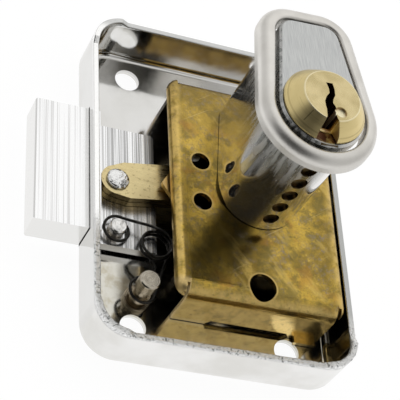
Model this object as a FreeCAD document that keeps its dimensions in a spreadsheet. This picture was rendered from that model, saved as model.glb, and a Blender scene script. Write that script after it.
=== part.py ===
import FreeCAD, Part
import math
import os
import Sketcher

# A furniture rim lock with a pear-shaped cylinder, lying on its closed back.
# X runs along the bolt, which leaves the case towards -X. Y is the long side
# of the case and Z rises from the back of the case to the key face. The origin
# is the middle of the four screw holes, on the back face. Lengths are in mm.

SIZES = [
    ("case_width", 50.0, "case, along the bolt"),
    ("case_height", 70.0, "case, long side"),
    ("case_depth", 10.4, "back face to the straight rim"),
    ("case_wall", 1.2, "pressed steel sheet"),
    ("case_corner_radius", 6.6, "corner seen from above"),
    ("case_fold_radius", 2.4, "outside of the fold round the back"),
    ("case_centre_x", -0.35, "middle of the case from the screw pattern"),
    ("case_centre_y", -0.4, "middle of the case from the screw pattern"),
    ("corner_rise", 0.8, "drawn corners stand above the straight rim"),
    ("corner_ramp", 1.4, "slope from a corner down to the rim"),
    ("rim_round", 0.3, "rounded edges of the rim"),
    ("cut_past", 1.0, "how far a cut runs past the metal"),
    ("screw_spacing_x", 30.1, "screw pattern across"),
    ("screw_spacing_y", 55.8, "screw pattern along"),
    ("screw_hole_diameter", 5.0, "four holes in the back"),
    ("slide_gap", 0.2, "running gap of flat moving pieces"),
    ("shaft_gap", 0.06, "radial running gap of pins and shafts"),
    ("rivet_gap", 0.02, "radial gap of a fixed rivet in its hole"),
    ("bolt_width", 26.5, "bolt, along Y"),
    ("bolt_thickness", 6.0, "head of the bolt, along Z"),
    ("bolt_floor", 2.0, "underside of the bolt above the back face"),
    ("bolt_centre_y", -0.1, "middle of the bolt"),
    ("bolt_throw", 10.3, "head outside the case, and travel"),
    ("bolt_head_inside", 1.0, "head behind the case wall when thrown"),
    ("tail_thickness", 1.8, "thin rear part of the bolt"),
    ("bolt_chamfer", 0.25, "edges of the bolt's outer end"),
    ("tail_run", 14.5, "case side to the free end of the tail, bolt thrown"),
    ("tail_step", 0.5, "width of the milled step at the free end"),
    ("tail_step_depth", 0.4, "depth of that step"),
    ("slot_gap", 0.3, "bolt to its slot in the case wall"),
    ("axis_run", 18.0, "right side of the case to the axis of cylinder and crank"),
    ("axis_y", -0.7, "axis of the cylinder and the crank"),
    ("link_pivot_run", 5.9, "case side to the rivet of bolt and link, bolt thrown"),
    ("link_plate_thickness", 1.25, "each of the two stacked plates"),
    ("link_plate_gap", 0.2, "gap between the two plates"),
    ("link_width", 7.8, "straight part of the link"),
    ("link_end_radius", 3.15, "round end at the bolt"),
    ("link_flare_length", 2.0, "rivet to full width"),
    ("link_flare_round", 0.5, "rounding of the full-width corners"),
    ("link_eye_radius", 4.7, "round end at the crank"),
    ("link_rivet_radius", 1.25, "shank of the link rivet"),
    ("link_rivet_head_radius", 2.2, "head of the link rivet at its foot"),
    ("link_rivet_head_rim", 0.2, "straight rim of the rivet head"),
    ("link_rivet_head_height", 0.9, "head of the link rivet"),
    ("crank_radius", 7.0, "cylinder axis to crank pin"),
    ("crank_rest_angle", 153.6, "crank from +X, bolt thrown, degrees"),
    ("crank_swing", 91.73, "crank from bolt thrown to bolt drawn, degrees"),
    ("crank_thickness", 1.15, "crank plate"),
    ("crank_hub_radius", 4.2, "crank plate round the axis"),
    ("crank_boss_radius", 3.5, "boss that turns in the keeper"),
    ("crank_tip_radius", 2.4, "crank plate round the pin"),
    ("crank_pin_radius", 1.2, "crank pin"),
    ("lost_motion_across", 2.12, "play of the crank pin across the link"),
    ("lost_motion_along", 0.6, "play of the crank pin along the link"),
    ("lost_motion_shift", -0.15, "middle of that play along the link"),
    ("pin_clearance", 0.25, "crank pin to the walls of its slot"),
    ("keeper_floor", 7.75, "underside of the keeper plate"),
    ("keeper_thickness", 0.8, "keeper plate"),
    ("keeper_overhang", 1.15, "pointed end beyond the cover"),
    ("keeper_point_run", 6.0, "length of the pointed end"),
    ("keeper_half_width", 10.0, "keeper plate, half along Y"),
    ("keeper_back", 13.5, "cylinder axis to the square end"),
    ("keeper_round", 1.2, "rounded corners of the keeper"),
    ("spacer_radius", 1.6, "spacers between keeper and cover"),
    ("spacer_inset", 4.4, "spacers from the sides of the cover"),
    ("spacer_y", 6.5, "spacers from the cylinder axis"),
    ("cover_top", 11.2, "upper face of the cover above the back face"),
    ("cover_sheet", 1.0, "brass sheet"),
    ("cover_run", 15.2, "left side of the case to the cover"),
    ("cover_side_gap", 0.5, "cover to the right wall of the case"),
    ("cover_centre_y", -0.9, "middle of the cover"),
    ("cover_height", 48.0, "cover along Y"),
    ("cover_corner_radius", 2.5, "corner seen from above"),
    ("cover_bend_radius", 1.5, "outside of the bends at the long sides"),
    ("cover_end_bend", 3.0, "outside of the bends at the end walls"),
    ("cover_lip", 1.9, "depth of the turned-down long sides"),
    ("cover_wall_inset", 2.3, "end walls stop this far from the left side"),
    ("cover_wall_end", 1.6, "end walls stop this far from the right side"),
    ("relief_width", 0.6, "relief notch beside each end wall"),
    ("relief_depth", 1.9, "relief notch into the cover"),
    ("arch_start", 6.4, "relieved foot edge from the wall's left end"),
    ("arch_width", 17.0, "length of the relieved foot edge"),
    ("arch_slant", 0.9, "sloping ends of the relieved foot edge"),
    ("arch_height", 1.4, "height of the relieved foot edge"),
    ("tab_width", 4.2, "foot tab turned outwards"),
    ("tab_length", 1.3, "foot tab turned outwards"),
    ("tab_inset", 0.8, "foot tab from the wall's right end"),
    ("cover_side_hole_inset", 5.5, "pair of small holes from the left side"),
    ("cover_side_hole_y", 4.5, "pair of small holes from the axis"),
    ("cover_side_hole_diameter", 3.65, "pair of small holes"),
    ("cover_large_hole_x", -0.4, "large hole from the axis"),
    ("cover_large_hole_y", -20.6, "large hole from the axis"),
    ("cover_large_hole_diameter", 5.3, "large hole"),
    ("cylinder_turn", 3.0, "cylinder turned about its axis, degrees"),
    ("barrel_length", 27.3, "cover to the key face"),
    ("barrel_radius", 8.2, "large end of the pear"),
    ("barrel_tip_radius", 3.0, "corners of the small end"),
    ("barrel_tip_x", 3.0, "corner centres from the axis"),
    ("barrel_tip_y", 16.2, "corner centres from the axis"),
    ("barrel_edge", 0.4, "polished edge of the key face"),
    ("barrel_web_floor", 1.3, "depth of the recess in the foot"),
    ("barrel_web", 0.7, "web that the plug rests on"),
    ("barrel_recess_radius", 6.0, "recess in the foot"),
    ("plug_radius", 5.62, "body of the plug"),
    ("plug_neck_radius", 4.2, "neck through the web"),
    ("plug_neck_drop", 1.1, "neck below the web"),
    ("plug_head_radius", 7.75, "domed head at its foot"),
    ("plug_flat_radius", 5.3, "flat of the domed head"),
    ("plug_head_rim", 0.35, "straight rim under the dome"),
    ("plug_head_height", 3.3, "domed head above its foot"),
    ("plug_dome_bulge", 0.06, "crown of the dome's side"),
    ("keyway_floor", 2.9, "end of the keyway above the web"),
    ("dimple_x", 1.14, "round pocket beside the keyway"),
    ("dimple_y", -3.32, "round pocket beside the keyway"),
    ("dimple_radius", 1.1, "round pocket beside the keyway"),
    ("dimple_depth", 0.5, "round pocket beside the keyway"),
    ("chamber_first", 3.7, "first pin chamber above the cover"),
    ("chamber_pitch", 3.9, "distance between pin chambers"),
    ("chamber_radius", 1.5, "pin chambers in the barrel"),
    ("chamber_end", 14.0, "blind end of the chambers from the axis"),
    ("chamber_plug_recess", 0.9, "closing plugs below the surface"),
    ("chamber_plug_length", 1.2, "closing plugs"),
    ("pin_radius", 1.35, "pins in their chambers"),
    ("driver_length", 4.0, "driver pins"),
    ("shear_gap", 0.25, "pins to the edge of the plug"),
    ("key_pin_cone", 0.7, "pointed end of the key pins"),
    ("spring_bore", 0.8, "hollow of the pin springs"),
    ("clip_thickness", 0.6, "retaining clip"),
    ("clip_radius", 5.3, "outside of the retaining clip"),
    ("clip_groove_radius", 3.5, "bottom of the clip groove"),
    ("clip_opening", 70.0, "open part of the clip, degrees"),
    ("tail_bar_width", 4.9, "flat bar from plug to crank"),
    ("tail_bar_thickness", 2.0, "flat bar from plug to crank"),
    ("tail_bar_grip", 1.5, "flat bar inside the plug"),
    ("cover_axis_hole_radius", 5.0, "hole in the cover round the axis"),
    ("cylinder_screw_x", 3.9, "cylinder screws from the axis"),
    ("cylinder_screw_y", 12.6, "cylinder screws from the axis"),
    ("cylinder_screw_radius", 1.3, "cylinder screws"),
    ("cylinder_screw_grip", 6.0, "cylinder screws inside the barrel"),
    ("cylinder_screw_head", 2.4, "heads of the cylinder screws"),
    ("cylinder_screw_head_height", 1.1, "heads of the cylinder screws"),
    ("rosette_gap", 0.55, "rosette to the barrel"),
    ("rosette_band", 2.65, "width of the ring round the plug"),
    ("rosette_tip_band", 2.95, "width of the ring at its narrow end"),
    ("rosette_height", 3.2, "thickness of the ring"),
    ("rosette_drop", 3.5, "outside face of the door below the key face"),
    ("rosette_outer_round", 2.0, "outer rounding of the ring"),
    ("rosette_inner_round", 0.6, "inner rounding of the ring"),
    ("turned_edge", 0.2, "broken edges of pin and post"),
    ("post_run", 10.9, "case side to the spring post"),
    ("post_y", -22.3, "spring post"),
    ("post_head_radius", 1.95, "head of the post"),
    ("post_head_floor", 6.5, "underside of the head"),
    ("post_top", 8.9, "top of the post"),
    ("post_waist_radius", 1.35, "groove for the spring eye"),
    ("post_collar_top", 4.0, "upper face of the collar"),
    ("post_collar_height", 1.0, "collar under the groove"),
    ("post_collar_radius", 1.9, "collar under the groove"),
    ("post_foot_radius", 2.5, "foot on the case"),
    ("post_foot_height", 0.8, "foot on the case"),
    ("post_shank_radius", 1.1, "riveted shank in the case"),
    ("spring_pin_run", 6.2, "case side to the spring pin, bolt thrown"),
    ("spring_pin_y", -10.3, "spring pin"),
    ("spring_pin_radius", 1.6, "spring pin"),
    ("spring_pin_height", 2.4, "spring pin above the tail"),
    ("spring_pin_shank", 1.1, "riveted shank in the tail"),
    ("spring_wire", 0.55, "wire diameter"),
    ("spring_eye_radius", 2.45, "centre line of both eyes"),
    ("spring_coil_radius", 2.85, "centre line of the coil"),
    ("spring_coil_run", 13.6, "case side to the axis of the coil"),
    ("spring_coil_y", -12.7, "axis of the coil"),
    ("spring_coil_turns", 2.0, "full turns between the two arms"),
    ("spring_pitch", 1.05, "climb of one turn"),
    ("spring_top", 6.55, "highest centre line of the coil"),
    ("spring_eye_pitch", 1.05, "climb of one turn of an eye"),
    ("spring_pin_eye_turns", 0.88, "turns of the eye round the pin"),
    ("spring_post_eye_turns", 0.9, "turns of the eye round the post"),
    ("spring_pin_eye_z", 5.3, "centre line of the arm at the pin"),
    ("spring_post_eye_z", 4.6, "centre line of the arm at the post"),
    ("guard_floor", 7.4, "underside of the spring guard"),
    ("guard_thickness", 0.9, "spring guard"),
    ("guard_inset", 0.8, "free end of the spring guard under the cover"),
    ("guard_length", 5.6, "free end to bent end of the spring guard"),
    ("guard_near_y", -16.8, "long edge away from the bolt"),
    ("guard_far_y", -11.7, "long edge above the bolt"),
    ("guard_foot_length", 4.0, "foot of the spring guard on the case"),
    ("rest_plate_inset", 1.5, "bearing strip inside the tail's edges"),
]

# Keyway outline on the plug, clear of the axis, from its closed end to its mouth.
KEYWAY_LEFT = [(-0.86, 2.7), (-0.52, 1.53), (-0.53, 0.53), (-1.27, -0.43), (-1.7, -1.41), (-1.72, -2.31),
               (-1.62, -3.12), (-1.75, -4.76)]
KEYWAY_RIGHT = [(0.2, -4.87), (0.13, -4.21), (0.38, -3.22), (0.16, -2.21), (-0.18, -1.59), (0.01, -0.8),
                (0.53, 0.17), (0.6, 1.47), (0.4, 2.73)]
KEYWAY_MOUTH = [(-1.74, -4.62), (0.2, -4.72), (1.14, -6.97), (1.06, -8.47), (-2.94, -8.26), (-2.66, -6.77)]
KEY_PIN_LENGTHS = [3.1, 3.9, 3.4, 4.2, 3.6]

doc = FreeCAD.newDocument("RimLock")
sheet = doc.addObject("Spreadsheet::Sheet", "Sizes")
for row, (alias, number, note) in enumerate(SIZES, start=1):
    sheet.set("A%d" % row, alias)
    sheet.set("B%d" % row, str(number))
    sheet.set("C%d" % row, note)
    sheet.setAlias("B%d" % row, alias)
doc.recompute()


class Length:
    """A number of the sheet, or a sum of them, with the formula that binds it."""

    def __init__(self, value, text):
        self.value = value
        self.text = text

    def join(self, other, sign, result, turned=False):
        mine = self.text
        theirs = other.text if isinstance(other, Length) else "%r" % float(other)
        if turned:
            mine, theirs = theirs, mine
        return Length(result, "(%s %s %s)" % (mine, sign, theirs))

    def __add__(self, other):
        return self.join(other, "+", self.value + number_of(other))

    def __radd__(self, other):
        return self.join(other, "+", number_of(other) + self.value, True)

    def __sub__(self, other):
        return self.join(other, "-", self.value - number_of(other))

    def __rsub__(self, other):
        return self.join(other, "-", number_of(other) - self.value, True)

    def __mul__(self, other):
        return self.join(other, "*", self.value * number_of(other))

    def __rmul__(self, other):
        return self.join(other, "*", number_of(other) * self.value, True)

    def __truediv__(self, other):
        return self.join(other, "/", self.value / number_of(other))

    def __neg__(self):
        return Length(-self.value, "(0 - %s)" % self.text)


def number_of(length):
    return length.value if isinstance(length, Length) else float(length)


def size(alias):
    return Length(float(sheet.get(alias)), "Sizes.%s" % alias)


def cosine(angle):
    return Length(math.cos(math.radians(angle.value)), "cos(%s * 1 deg)" % angle.text)


def sine(angle):
    return Length(math.sin(math.radians(angle.value)), "sin(%s * 1 deg)" % angle.text)


def bind(thing, path, length):
    """Set one property to a length and keep it bound to the sheet."""
    if isinstance(length, Length):
        thing.setExpression(path, length.text)


def place(thing, x=0.0, y=0.0, z=0.0, angle=0.0):
    """Put an object at a point of the frame, turned about Z by an angle in degrees."""
    spot = FreeCAD.Vector(number_of(x), number_of(y), number_of(z))
    thing.Placement = FreeCAD.Placement(spot, FreeCAD.Rotation(FreeCAD.Vector(0, 0, 1), angle))
    for letter, length in (("x", x), ("y", y), ("z", z)):
        bind(thing, "Placement.Base.%s" % letter, length)
    return thing


PARTS = []


def keep(thing, label):
    """Name a finished sub-part, which is then written to a file of that name."""
    thing.Label = label
    PARTS.append(thing)
    return thing


def new_body(name):
    return doc.addObject("PartDesign::Body", name)


def new_sketch(body, role="XY_Plane", height=0.0):
    """A sketch on one of the body's own planes, moved along that plane's normal."""
    sketch = body.newObject("Sketcher::SketchObject", body.Name + "Sketch")
    planes = [feature for feature in body.Origin.OriginFeatures if feature.Role == role]
    sketch.AttachmentSupport = [(planes[0], "")]
    sketch.MapMode = "FlatFace"
    sketch.AttachmentOffset = FreeCAD.Placement(FreeCAD.Vector(0, 0, number_of(height)), FreeCAD.Rotation())
    bind(sketch, "AttachmentOffset.Base.z", height)
    return sketch


def pin_coordinate(sketch, kind, index, corner, length):
    """Hold one coordinate of a point of the sketch."""
    if not isinstance(length, Length) and length == 0:
        axis = -2 if kind == "DistanceX" else -1
        sketch.addConstraint(Sketcher.Constraint("PointOnObject", index, corner, axis))
        return
    spot = sketch.addConstraint(Sketcher.Constraint(kind, -1, 1, index, corner, number_of(length)))
    bind(sketch, "Constraints[%d]" % spot, length)


def pin_point(sketch, index, corner, x, y):
    pin_coordinate(sketch, "DistanceX", index, corner, x)
    pin_coordinate(sketch, "DistanceY", index, corner, y)


def draw_circle(sketch, x, y, radius):
    centre = FreeCAD.Vector(number_of(x), number_of(y), 0)
    index = sketch.addGeometry(Part.Circle(centre, FreeCAD.Vector(0, 0, 1), number_of(radius)))
    pin_point(sketch, index, 3, x, y)
    spot = sketch.addConstraint(Sketcher.Constraint("Radius", index, number_of(radius)))
    bind(sketch, "Constraints[%d]" % spot, radius)


def draw_polygon(sketch, corners):
    """A closed outline of straight lines through the corners."""
    points = [FreeCAD.Vector(number_of(x), number_of(y), 0) for x, y in corners]
    first = None
    for step, point in enumerate(points):
        index = sketch.addGeometry(Part.LineSegment(point, points[(step + 1) % len(points)]))
        first = index if first is None else first
    count = len(points)
    for step in range(count):
        following = first + (step + 1) % count
        sketch.addConstraint(Sketcher.Constraint("Coincident", first + step, 2, following, 1))
    for step, (x, y) in enumerate(corners):
        pin_point(sketch, first + step, 1, x, y)


def draw_rectangle(sketch, left, bottom, right, top):
    draw_polygon(sketch, [(left, bottom), (right, bottom), (right, top), (left, top)])


def draw_belt(sketch, circles):
    """The outline of a belt round some circles, given counterclockwise."""
    count = len(circles)
    centres = [FreeCAD.Vector(number_of(x), number_of(y), 0) for x, y, radius in circles]
    radii = [number_of(radius) for x, y, radius in circles]
    normals = []
    for step in range(count):
        run = centres[(step + 1) % count] - centres[step]
        heading = math.atan2(run.y, run.x)
        normals.append(heading - math.acos((radii[step] - radii[(step + 1) % count]) / run.Length))
    arcs = []
    lines = []
    for step in range(count):
        start = normals[step - 1]
        stop = normals[step]
        while stop < start:
            stop += 2 * math.pi
        ring = Part.Circle(centres[step], FreeCAD.Vector(0, 0, 1), radii[step])
        arcs.append(sketch.addGeometry(Part.ArcOfCircle(ring, start, stop)))
    for step in range(count):
        after = (step + 1) % count
        normal = FreeCAD.Vector(math.cos(normals[step]), math.sin(normals[step]), 0)
        begin = centres[step] + normal * radii[step]
        end = centres[after] + normal * radii[after]
        lines.append(sketch.addGeometry(Part.LineSegment(begin, end)))
    for step in range(count):
        after = (step + 1) % count
        sketch.addConstraint(Sketcher.Constraint("Tangent", arcs[step], 2, lines[step], 1))
        sketch.addConstraint(Sketcher.Constraint("Tangent", lines[step], 2, arcs[after], 1))
    for step, (x, y, radius) in enumerate(circles):
        pin_point(sketch, arcs[step], 3, x, y)
        spot = sketch.addConstraint(Sketcher.Constraint("Radius", arcs[step], number_of(radius)))
        bind(sketch, "Constraints[%d]" % spot, radius)


def draw_arc_slot(sketch, radius, half_width, start, stop):
    """A slot with round ends that follows an arc about the origin, counterclockwise."""
    up = FreeCAD.Vector(0, 0, 1)
    middle = FreeCAD.Vector(0, 0, 0)
    low = math.radians(number_of(start))
    high = math.radians(number_of(stop))
    wide = number_of(radius) + number_of(half_width)
    narrow = number_of(radius) - number_of(half_width)
    ends = []
    for angle, turn in ((low, math.pi), (high, 0)):
        spot = FreeCAD.Vector(math.cos(angle), math.sin(angle), 0) * number_of(radius)
        cap = Part.Circle(spot, up, number_of(half_width))
        ends.append(Part.ArcOfCircle(cap, angle + turn, angle + turn + math.pi))
    outside = sketch.addGeometry(Part.ArcOfCircle(Part.Circle(middle, up, wide), low, high))
    last = sketch.addGeometry(ends[1])
    inside = sketch.addGeometry(Part.ArcOfCircle(Part.Circle(middle, up, narrow), low, high))
    first = sketch.addGeometry(ends[0])
    sketch.addConstraint(Sketcher.Constraint("Tangent", outside, 2, last, 1))
    sketch.addConstraint(Sketcher.Constraint("Tangent", last, 2, inside, 2))
    sketch.addConstraint(Sketcher.Constraint("Tangent", inside, 1, first, 1))
    sketch.addConstraint(Sketcher.Constraint("Tangent", first, 2, outside, 1))
    pin_point(sketch, outside, 3, 0, 0)
    pin_point(sketch, inside, 3, 0, 0)
    pin_point(sketch, first, 3, radius * cosine(start), radius * sine(start))
    pin_coordinate(sketch, "DistanceY", last, 3, radius * sine(stop))
    spot = sketch.addConstraint(Sketcher.Constraint("Radius", outside, wide))
    bind(sketch, "Constraints[%d]" % spot, radius + half_width)


def rounded_corners(half_x, half_y, radius):
    """Four corner circles of a rounded rectangle about the origin."""
    x = half_x - radius
    y = half_y - radius
    return [(-x, -y, radius), (x, -y, radius), (x, y, radius), (-x, y, radius)]


def draw_bend(sketch, outside, top, foot, radius, skin, end):
    """Section of a sheet that runs out, bends down round a quarter circle and ends at its foot."""
    up = FreeCAD.Vector(0, 0, 1)
    start = outside - radius
    level = top - radius
    middle = FreeCAD.Vector(number_of(start) * end, number_of(level), 0)
    low, high = (0, math.pi / 2) if end > 0 else (math.pi / 2, math.pi)
    at_wall, at_plate = (1, 2) if end > 0 else (2, 1)
    arcs = []
    for reach in (radius, radius - skin):
        arc = sketch.addGeometry(Part.ArcOfCircle(Part.Circle(middle, up, number_of(reach)), low, high))
        pin_point(sketch, arc, 3, start * end, level)
        pin_point(sketch, arc, at_wall, (start + reach) * end, level)
        pin_coordinate(sketch, "DistanceX", arc, at_plate, start * end)
        arcs.append(arc)
    corners = [(outside, level), (outside, foot), (outside - skin, foot), (outside - skin, level),
               (start, top - skin), (start, top)]
    points = [FreeCAD.Vector(number_of(x) * end, number_of(y), 0) for x, y in corners]
    outer_wall, sole, inner_wall, edge = [
        sketch.addGeometry(Part.LineSegment(points[first], points[second]))
        for first, second in ((0, 1), (1, 2), (2, 3), (4, 5))]
    joins = [(arcs[0], at_wall, outer_wall, 1), (outer_wall, 2, sole, 1), (sole, 2, inner_wall, 1),
             (inner_wall, 2, arcs[1], at_wall), (arcs[1], at_plate, edge, 1), (edge, 2, arcs[0], at_plate)]
    for join in joins:
        sketch.addConstraint(Sketcher.Constraint("Coincident", *join))
    pin_point(sketch, sole, 1, outside * end, foot)
    pin_point(sketch, sole, 2, (outside - skin) * end, foot)


def add_feature(body, kind, sketch, length, reverse=False, midplane=False):
    """Pad or pocket a sketch, and see that it changed the body's volume."""
    doc.recompute()
    before = body.Tip.Shape.Volume if body.Tip else 0.0
    feature = body.newObject("PartDesign::" + kind, body.Name + kind)
    feature.Profile = sketch
    if length is None:
        feature.Type = 1
    else:
        feature.Length = number_of(length)
        bind(feature, "Length", length)
    feature.Reversed = reverse
    feature.Midplane = midplane
    doc.recompute()
    if abs(feature.Shape.Volume - before) < 1e-6:
        raise RuntimeError("%s changed nothing" % feature.Name)
    return feature


def revolve(body, sketch, angle=360.0):
    """Turn a sketch drawn on the XZ plane about the body's Z axis."""
    feature = body.newObject("PartDesign::Revolution", body.Name + "Revolution")
    feature.Profile = sketch
    feature.ReferenceAxis = (sketch, ["V_Axis"])
    feature.Angle = number_of(angle)
    bind(feature, "Angle", angle)
    doc.recompute()
    return feature


def dress(body, kind, radius, wanted):
    """Fillet or chamfer the edges of the body's tip that a test picks out."""
    doc.recompute()
    base = body.Tip
    names = []
    for number, edge in enumerate(base.Shape.Edges, start=1):
        if wanted(edge):
            names.append("Edge%d" % number)
    if not names:
        raise RuntimeError("no edge to %s on %s" % (kind, body.Name))
    feature = body.newObject("PartDesign::" + kind, body.Name + kind)
    feature.Base = (base, names)
    path = "Radius" if kind == "Fillet" else "Size"
    setattr(feature, path, number_of(radius))
    bind(feature, path, radius)
    doc.recompute()
    return feature


def at_height(height):
    """A test for edges that lie flat at one height."""
    level = number_of(height)

    def wanted(edge):
        box = edge.BoundBox
        return abs(box.ZMin - level) < 1e-4 and abs(box.ZMax - level) < 1e-4
    return wanted


def cylinder(radius, height, x, y, z):
    """An upright cylinder with its foot at a point."""
    thing = doc.addObject("Part::Cylinder", "Round")
    thing.Radius = number_of(radius)
    thing.Height = number_of(height)
    bind(thing, "Radius", radius)
    bind(thing, "Height", height)
    return place(thing, x, y, z)




def group(name, members):
    """Several separate solids of one kind in one sub-part."""
    thing = doc.addObject("Part::Compound", name)
    thing.Links = members
    return thing


# Levels and places that several sub-parts share.
case_wall = size("case_wall")
case_left = size("case_centre_x") - size("case_width") / 2
case_right = size("case_centre_x") + size("case_width") / 2
axis_x = case_right - size("axis_run")
axis_y = size("axis_y")
cylinder_turn = size("cylinder_turn")
link_pivot_x = case_left + size("link_pivot_run")
past = size("cut_past")
tail_end_x = case_left + size("tail_run")
post_x = case_left + size("post_run")
spring_pin_x = case_left + size("spring_pin_run")
spring_coil_x = case_left + size("spring_coil_run")
cover_left = case_left + size("cover_run")
cover_right = case_right - case_wall - size("cover_side_gap")
guard_left = cover_left + size("guard_inset")
guard_right = guard_left + size("guard_length")
tail_top = size("bolt_floor") + size("tail_thickness")
link_floor = tail_top + size("slide_gap") / 2
link_top = link_floor + size("link_plate_thickness") * 2 + size("link_plate_gap")
upper_link_floor = link_floor + size("link_plate_thickness") + size("link_plate_gap")
keeper_top = size("keeper_floor") + size("keeper_thickness")
cover_inside = size("cover_top") - size("cover_sheet")
crank_floor = cover_inside - size("slide_gap") - size("crank_thickness")
web_floor = size("cover_top") + size("barrel_web_floor")
web_top = web_floor + size("barrel_web")
face_level = size("cover_top") + size("barrel_length")
bore_radius = size("plug_radius") + size("shaft_gap")
chamber_level = size("cover_top") + size("chamber_first")
rosette_floor = face_level - size("rosette_drop")
crank_pin_x = axis_x + size("crank_radius") * cosine(size("crank_rest_angle"))
crank_pin_y = axis_y + size("crank_radius") * sine(size("crank_rest_angle"))
link_run_x = crank_pin_x.value - link_pivot_x.value
link_run_y = crank_pin_y.value - axis_y.value
link_angle = math.degrees(math.atan2(link_run_y, link_run_x))


def turned(x, y):
    """A point of the cylinder, from its axis, after the cylinder's turn."""
    return (x * cosine(cylinder_turn) - y * sine(cylinder_turn),
            x * sine(cylinder_turn) + y * cosine(cylinder_turn))


def lay_in_chamber(thing, run, height):
    """Lay an upright piece along the chambers, with its foot at a run from the cylinder's axis."""
    x, y = turned(Length(0.0, "0"), run)
    place(thing, axis_x + x, axis_y + y, height)
    upright = FreeCAD.Rotation(FreeCAD.Vector(0, 0, 1), cylinder_turn.value)
    lying = FreeCAD.Rotation(FreeCAD.Vector(1, 0, 0), -90)
    thing.Placement = FreeCAD.Placement(thing.Placement.Base, upright.multiply(lying))
    for letter, length in (("x", axis_x + x), ("y", axis_y + y), ("z", height)):
        bind(thing, "Placement.Base.%s" % letter, length)
    return thing


def make_case():
    """Deep-drawn steel tray, with raised corners, a slot for the bolt and four screw holes."""
    body = place(new_body("Case"), size("case_centre_x"), size("case_centre_y"))
    half_x = size("case_width") / 2
    half_y = size("case_height") / 2
    corner = size("case_corner_radius")
    top = size("case_depth") + size("corner_rise")
    outline = new_sketch(body)
    draw_belt(outline, rounded_corners(half_x, half_y, corner))
    add_feature(body, "Pad", outline, top)
    dress(body, "Fillet", size("case_fold_radius"), at_height(0))
    cavity = new_sketch(body, height=top)
    draw_belt(cavity, rounded_corners(half_x - case_wall, half_y - case_wall, corner - case_wall))
    add_feature(body, "Pocket", cavity, top - case_wall)

    def inner_floor(edge):
        box = edge.BoundBox
        return abs(box.ZMin - case_wall.value) < 1e-4 and abs(box.ZMax - case_wall.value) < 1e-4
    dress(body, "Fillet", size("case_fold_radius") - case_wall, inner_floor)
    ramp = size("corner_ramp") / 2
    spans = (("YZ_Plane", half_y, size("case_width")), ("XZ_Plane", half_x, size("case_height")))
    for role, half, across in spans:
        side_view = new_sketch(body, role)
        high = half - corner + ramp
        low = half - corner - ramp
        draw_polygon(side_view, [
            (-high, top), (-low, size("case_depth")), (low, size("case_depth")), (high, top),
            (high, top + past), (-high, top + past)])
        add_feature(body, "Pocket", side_view, across + past * 2, midplane=True)

    def rim(edge):
        return edge.BoundBox.ZMin > number_of(size("case_depth")) - 1e-4
    dress(body, "Fillet", size("rim_round"), rim)
    slot = new_sketch(body, "YZ_Plane", -half_x - past)
    middle = size("bolt_centre_y") - size("case_centre_y")
    reach = size("bolt_width") / 2 + size("slot_gap")
    low = size("bolt_floor") - size("slot_gap")
    high = size("bolt_floor") + size("bolt_thickness") + size("slot_gap")
    draw_rectangle(slot, middle - reach, low, middle + reach, high)
    add_feature(body, "Pocket", slot, case_wall + past * 2, reverse=True)
    holes = new_sketch(body, height=case_wall)
    for side in (-1, 1):
        for end in (-1, 1):
            x = size("screw_spacing_x") * side / 2 - size("case_centre_x")
            y = size("screw_spacing_y") * end / 2 - size("case_centre_y")
            draw_circle(holes, x, y, size("screw_hole_diameter") / 2)
    shank = size("post_shank_radius") + size("rivet_gap")
    draw_circle(holes, post_x - size("case_centre_x"), size("post_y") - size("case_centre_y"), shank)
    add_feature(body, "Pocket", holes, None)
    keep(body, "case")


def make_bolt_rest_strip():
    """Thin bearing strip on the case, on which the tail of the bolt slides."""
    strip = doc.addObject("Part::Box", "BoltRest")
    left = case_left + size("case_fold_radius") + size("slide_gap")
    length = tail_end_x - size("tail_step") - left
    width = size("bolt_width") - size("rest_plate_inset") * 2
    height = size("bolt_floor") - size("slide_gap") - case_wall
    for path, value in (("Length", length), ("Width", width), ("Height", height)):
        setattr(strip, path, value.value)
        bind(strip, path, value)
    place(strip, left, size("bolt_centre_y") - width / 2, case_wall)
    keep(strip, "bolt_rest_strip")


def make_bolt():
    """Square-ended bolt: thick head outside, thin tail with a milled end step inside."""
    body = place(new_body("Bolt"), 0, size("bolt_centre_y"))
    outer = case_left - size("bolt_throw")
    head_end = case_left + case_wall + size("bolt_head_inside")
    floor = size("bolt_floor")
    step_x = tail_end_x - size("tail_step")
    side_view = new_sketch(body, "XZ_Plane")
    draw_polygon(side_view, [
        (outer, floor), (tail_end_x, floor),
        (tail_end_x, tail_top - size("tail_step_depth")), (step_x, tail_top - size("tail_step_depth")),
        (step_x, tail_top), (head_end, tail_top),
        (head_end, floor + size("bolt_thickness")), (outer, floor + size("bolt_thickness"))])
    add_feature(body, "Pad", side_view, size("bolt_width"), midplane=True)

    def outer_end(edge):
        box = edge.BoundBox
        return abs(box.XMin - outer.value) < 1e-4 and abs(box.XMax - outer.value) < 1e-4
    dress(body, "Chamfer", size("bolt_chamfer"), outer_end)
    holes = new_sketch(body, height=tail_top)
    rivet_y = axis_y - size("bolt_centre_y")
    draw_circle(holes, link_pivot_x, rivet_y, size("link_rivet_radius") + size("rivet_gap"))
    pin_y = size("spring_pin_y") - size("bolt_centre_y")
    draw_circle(holes, spring_pin_x, pin_y, size("spring_pin_shank") + size("rivet_gap"))
    add_feature(body, "Pocket", holes, size("tail_thickness"))
    keep(body, "bolt")


def make_turned(name, label, x, y, profile):
    """A turned piece: an upright profile of radius and height, revolved about Z."""
    body = place(new_body(name), x, y)
    sketch = new_sketch(body, "XZ_Plane")
    draw_polygon(sketch, profile)
    revolve(body, sketch)
    keep(body, label)
    return body


def dome(radius, foot, height):
    """Points of a quarter ellipse from the foot of a dome to its crown."""
    steps = 8
    corners = []
    for step in range(steps):
        angle = math.pi / 2 * step / steps
        corners.append((radius * math.cos(angle), foot + height * math.sin(angle)))
    return corners + [(0, foot + height)]


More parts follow.
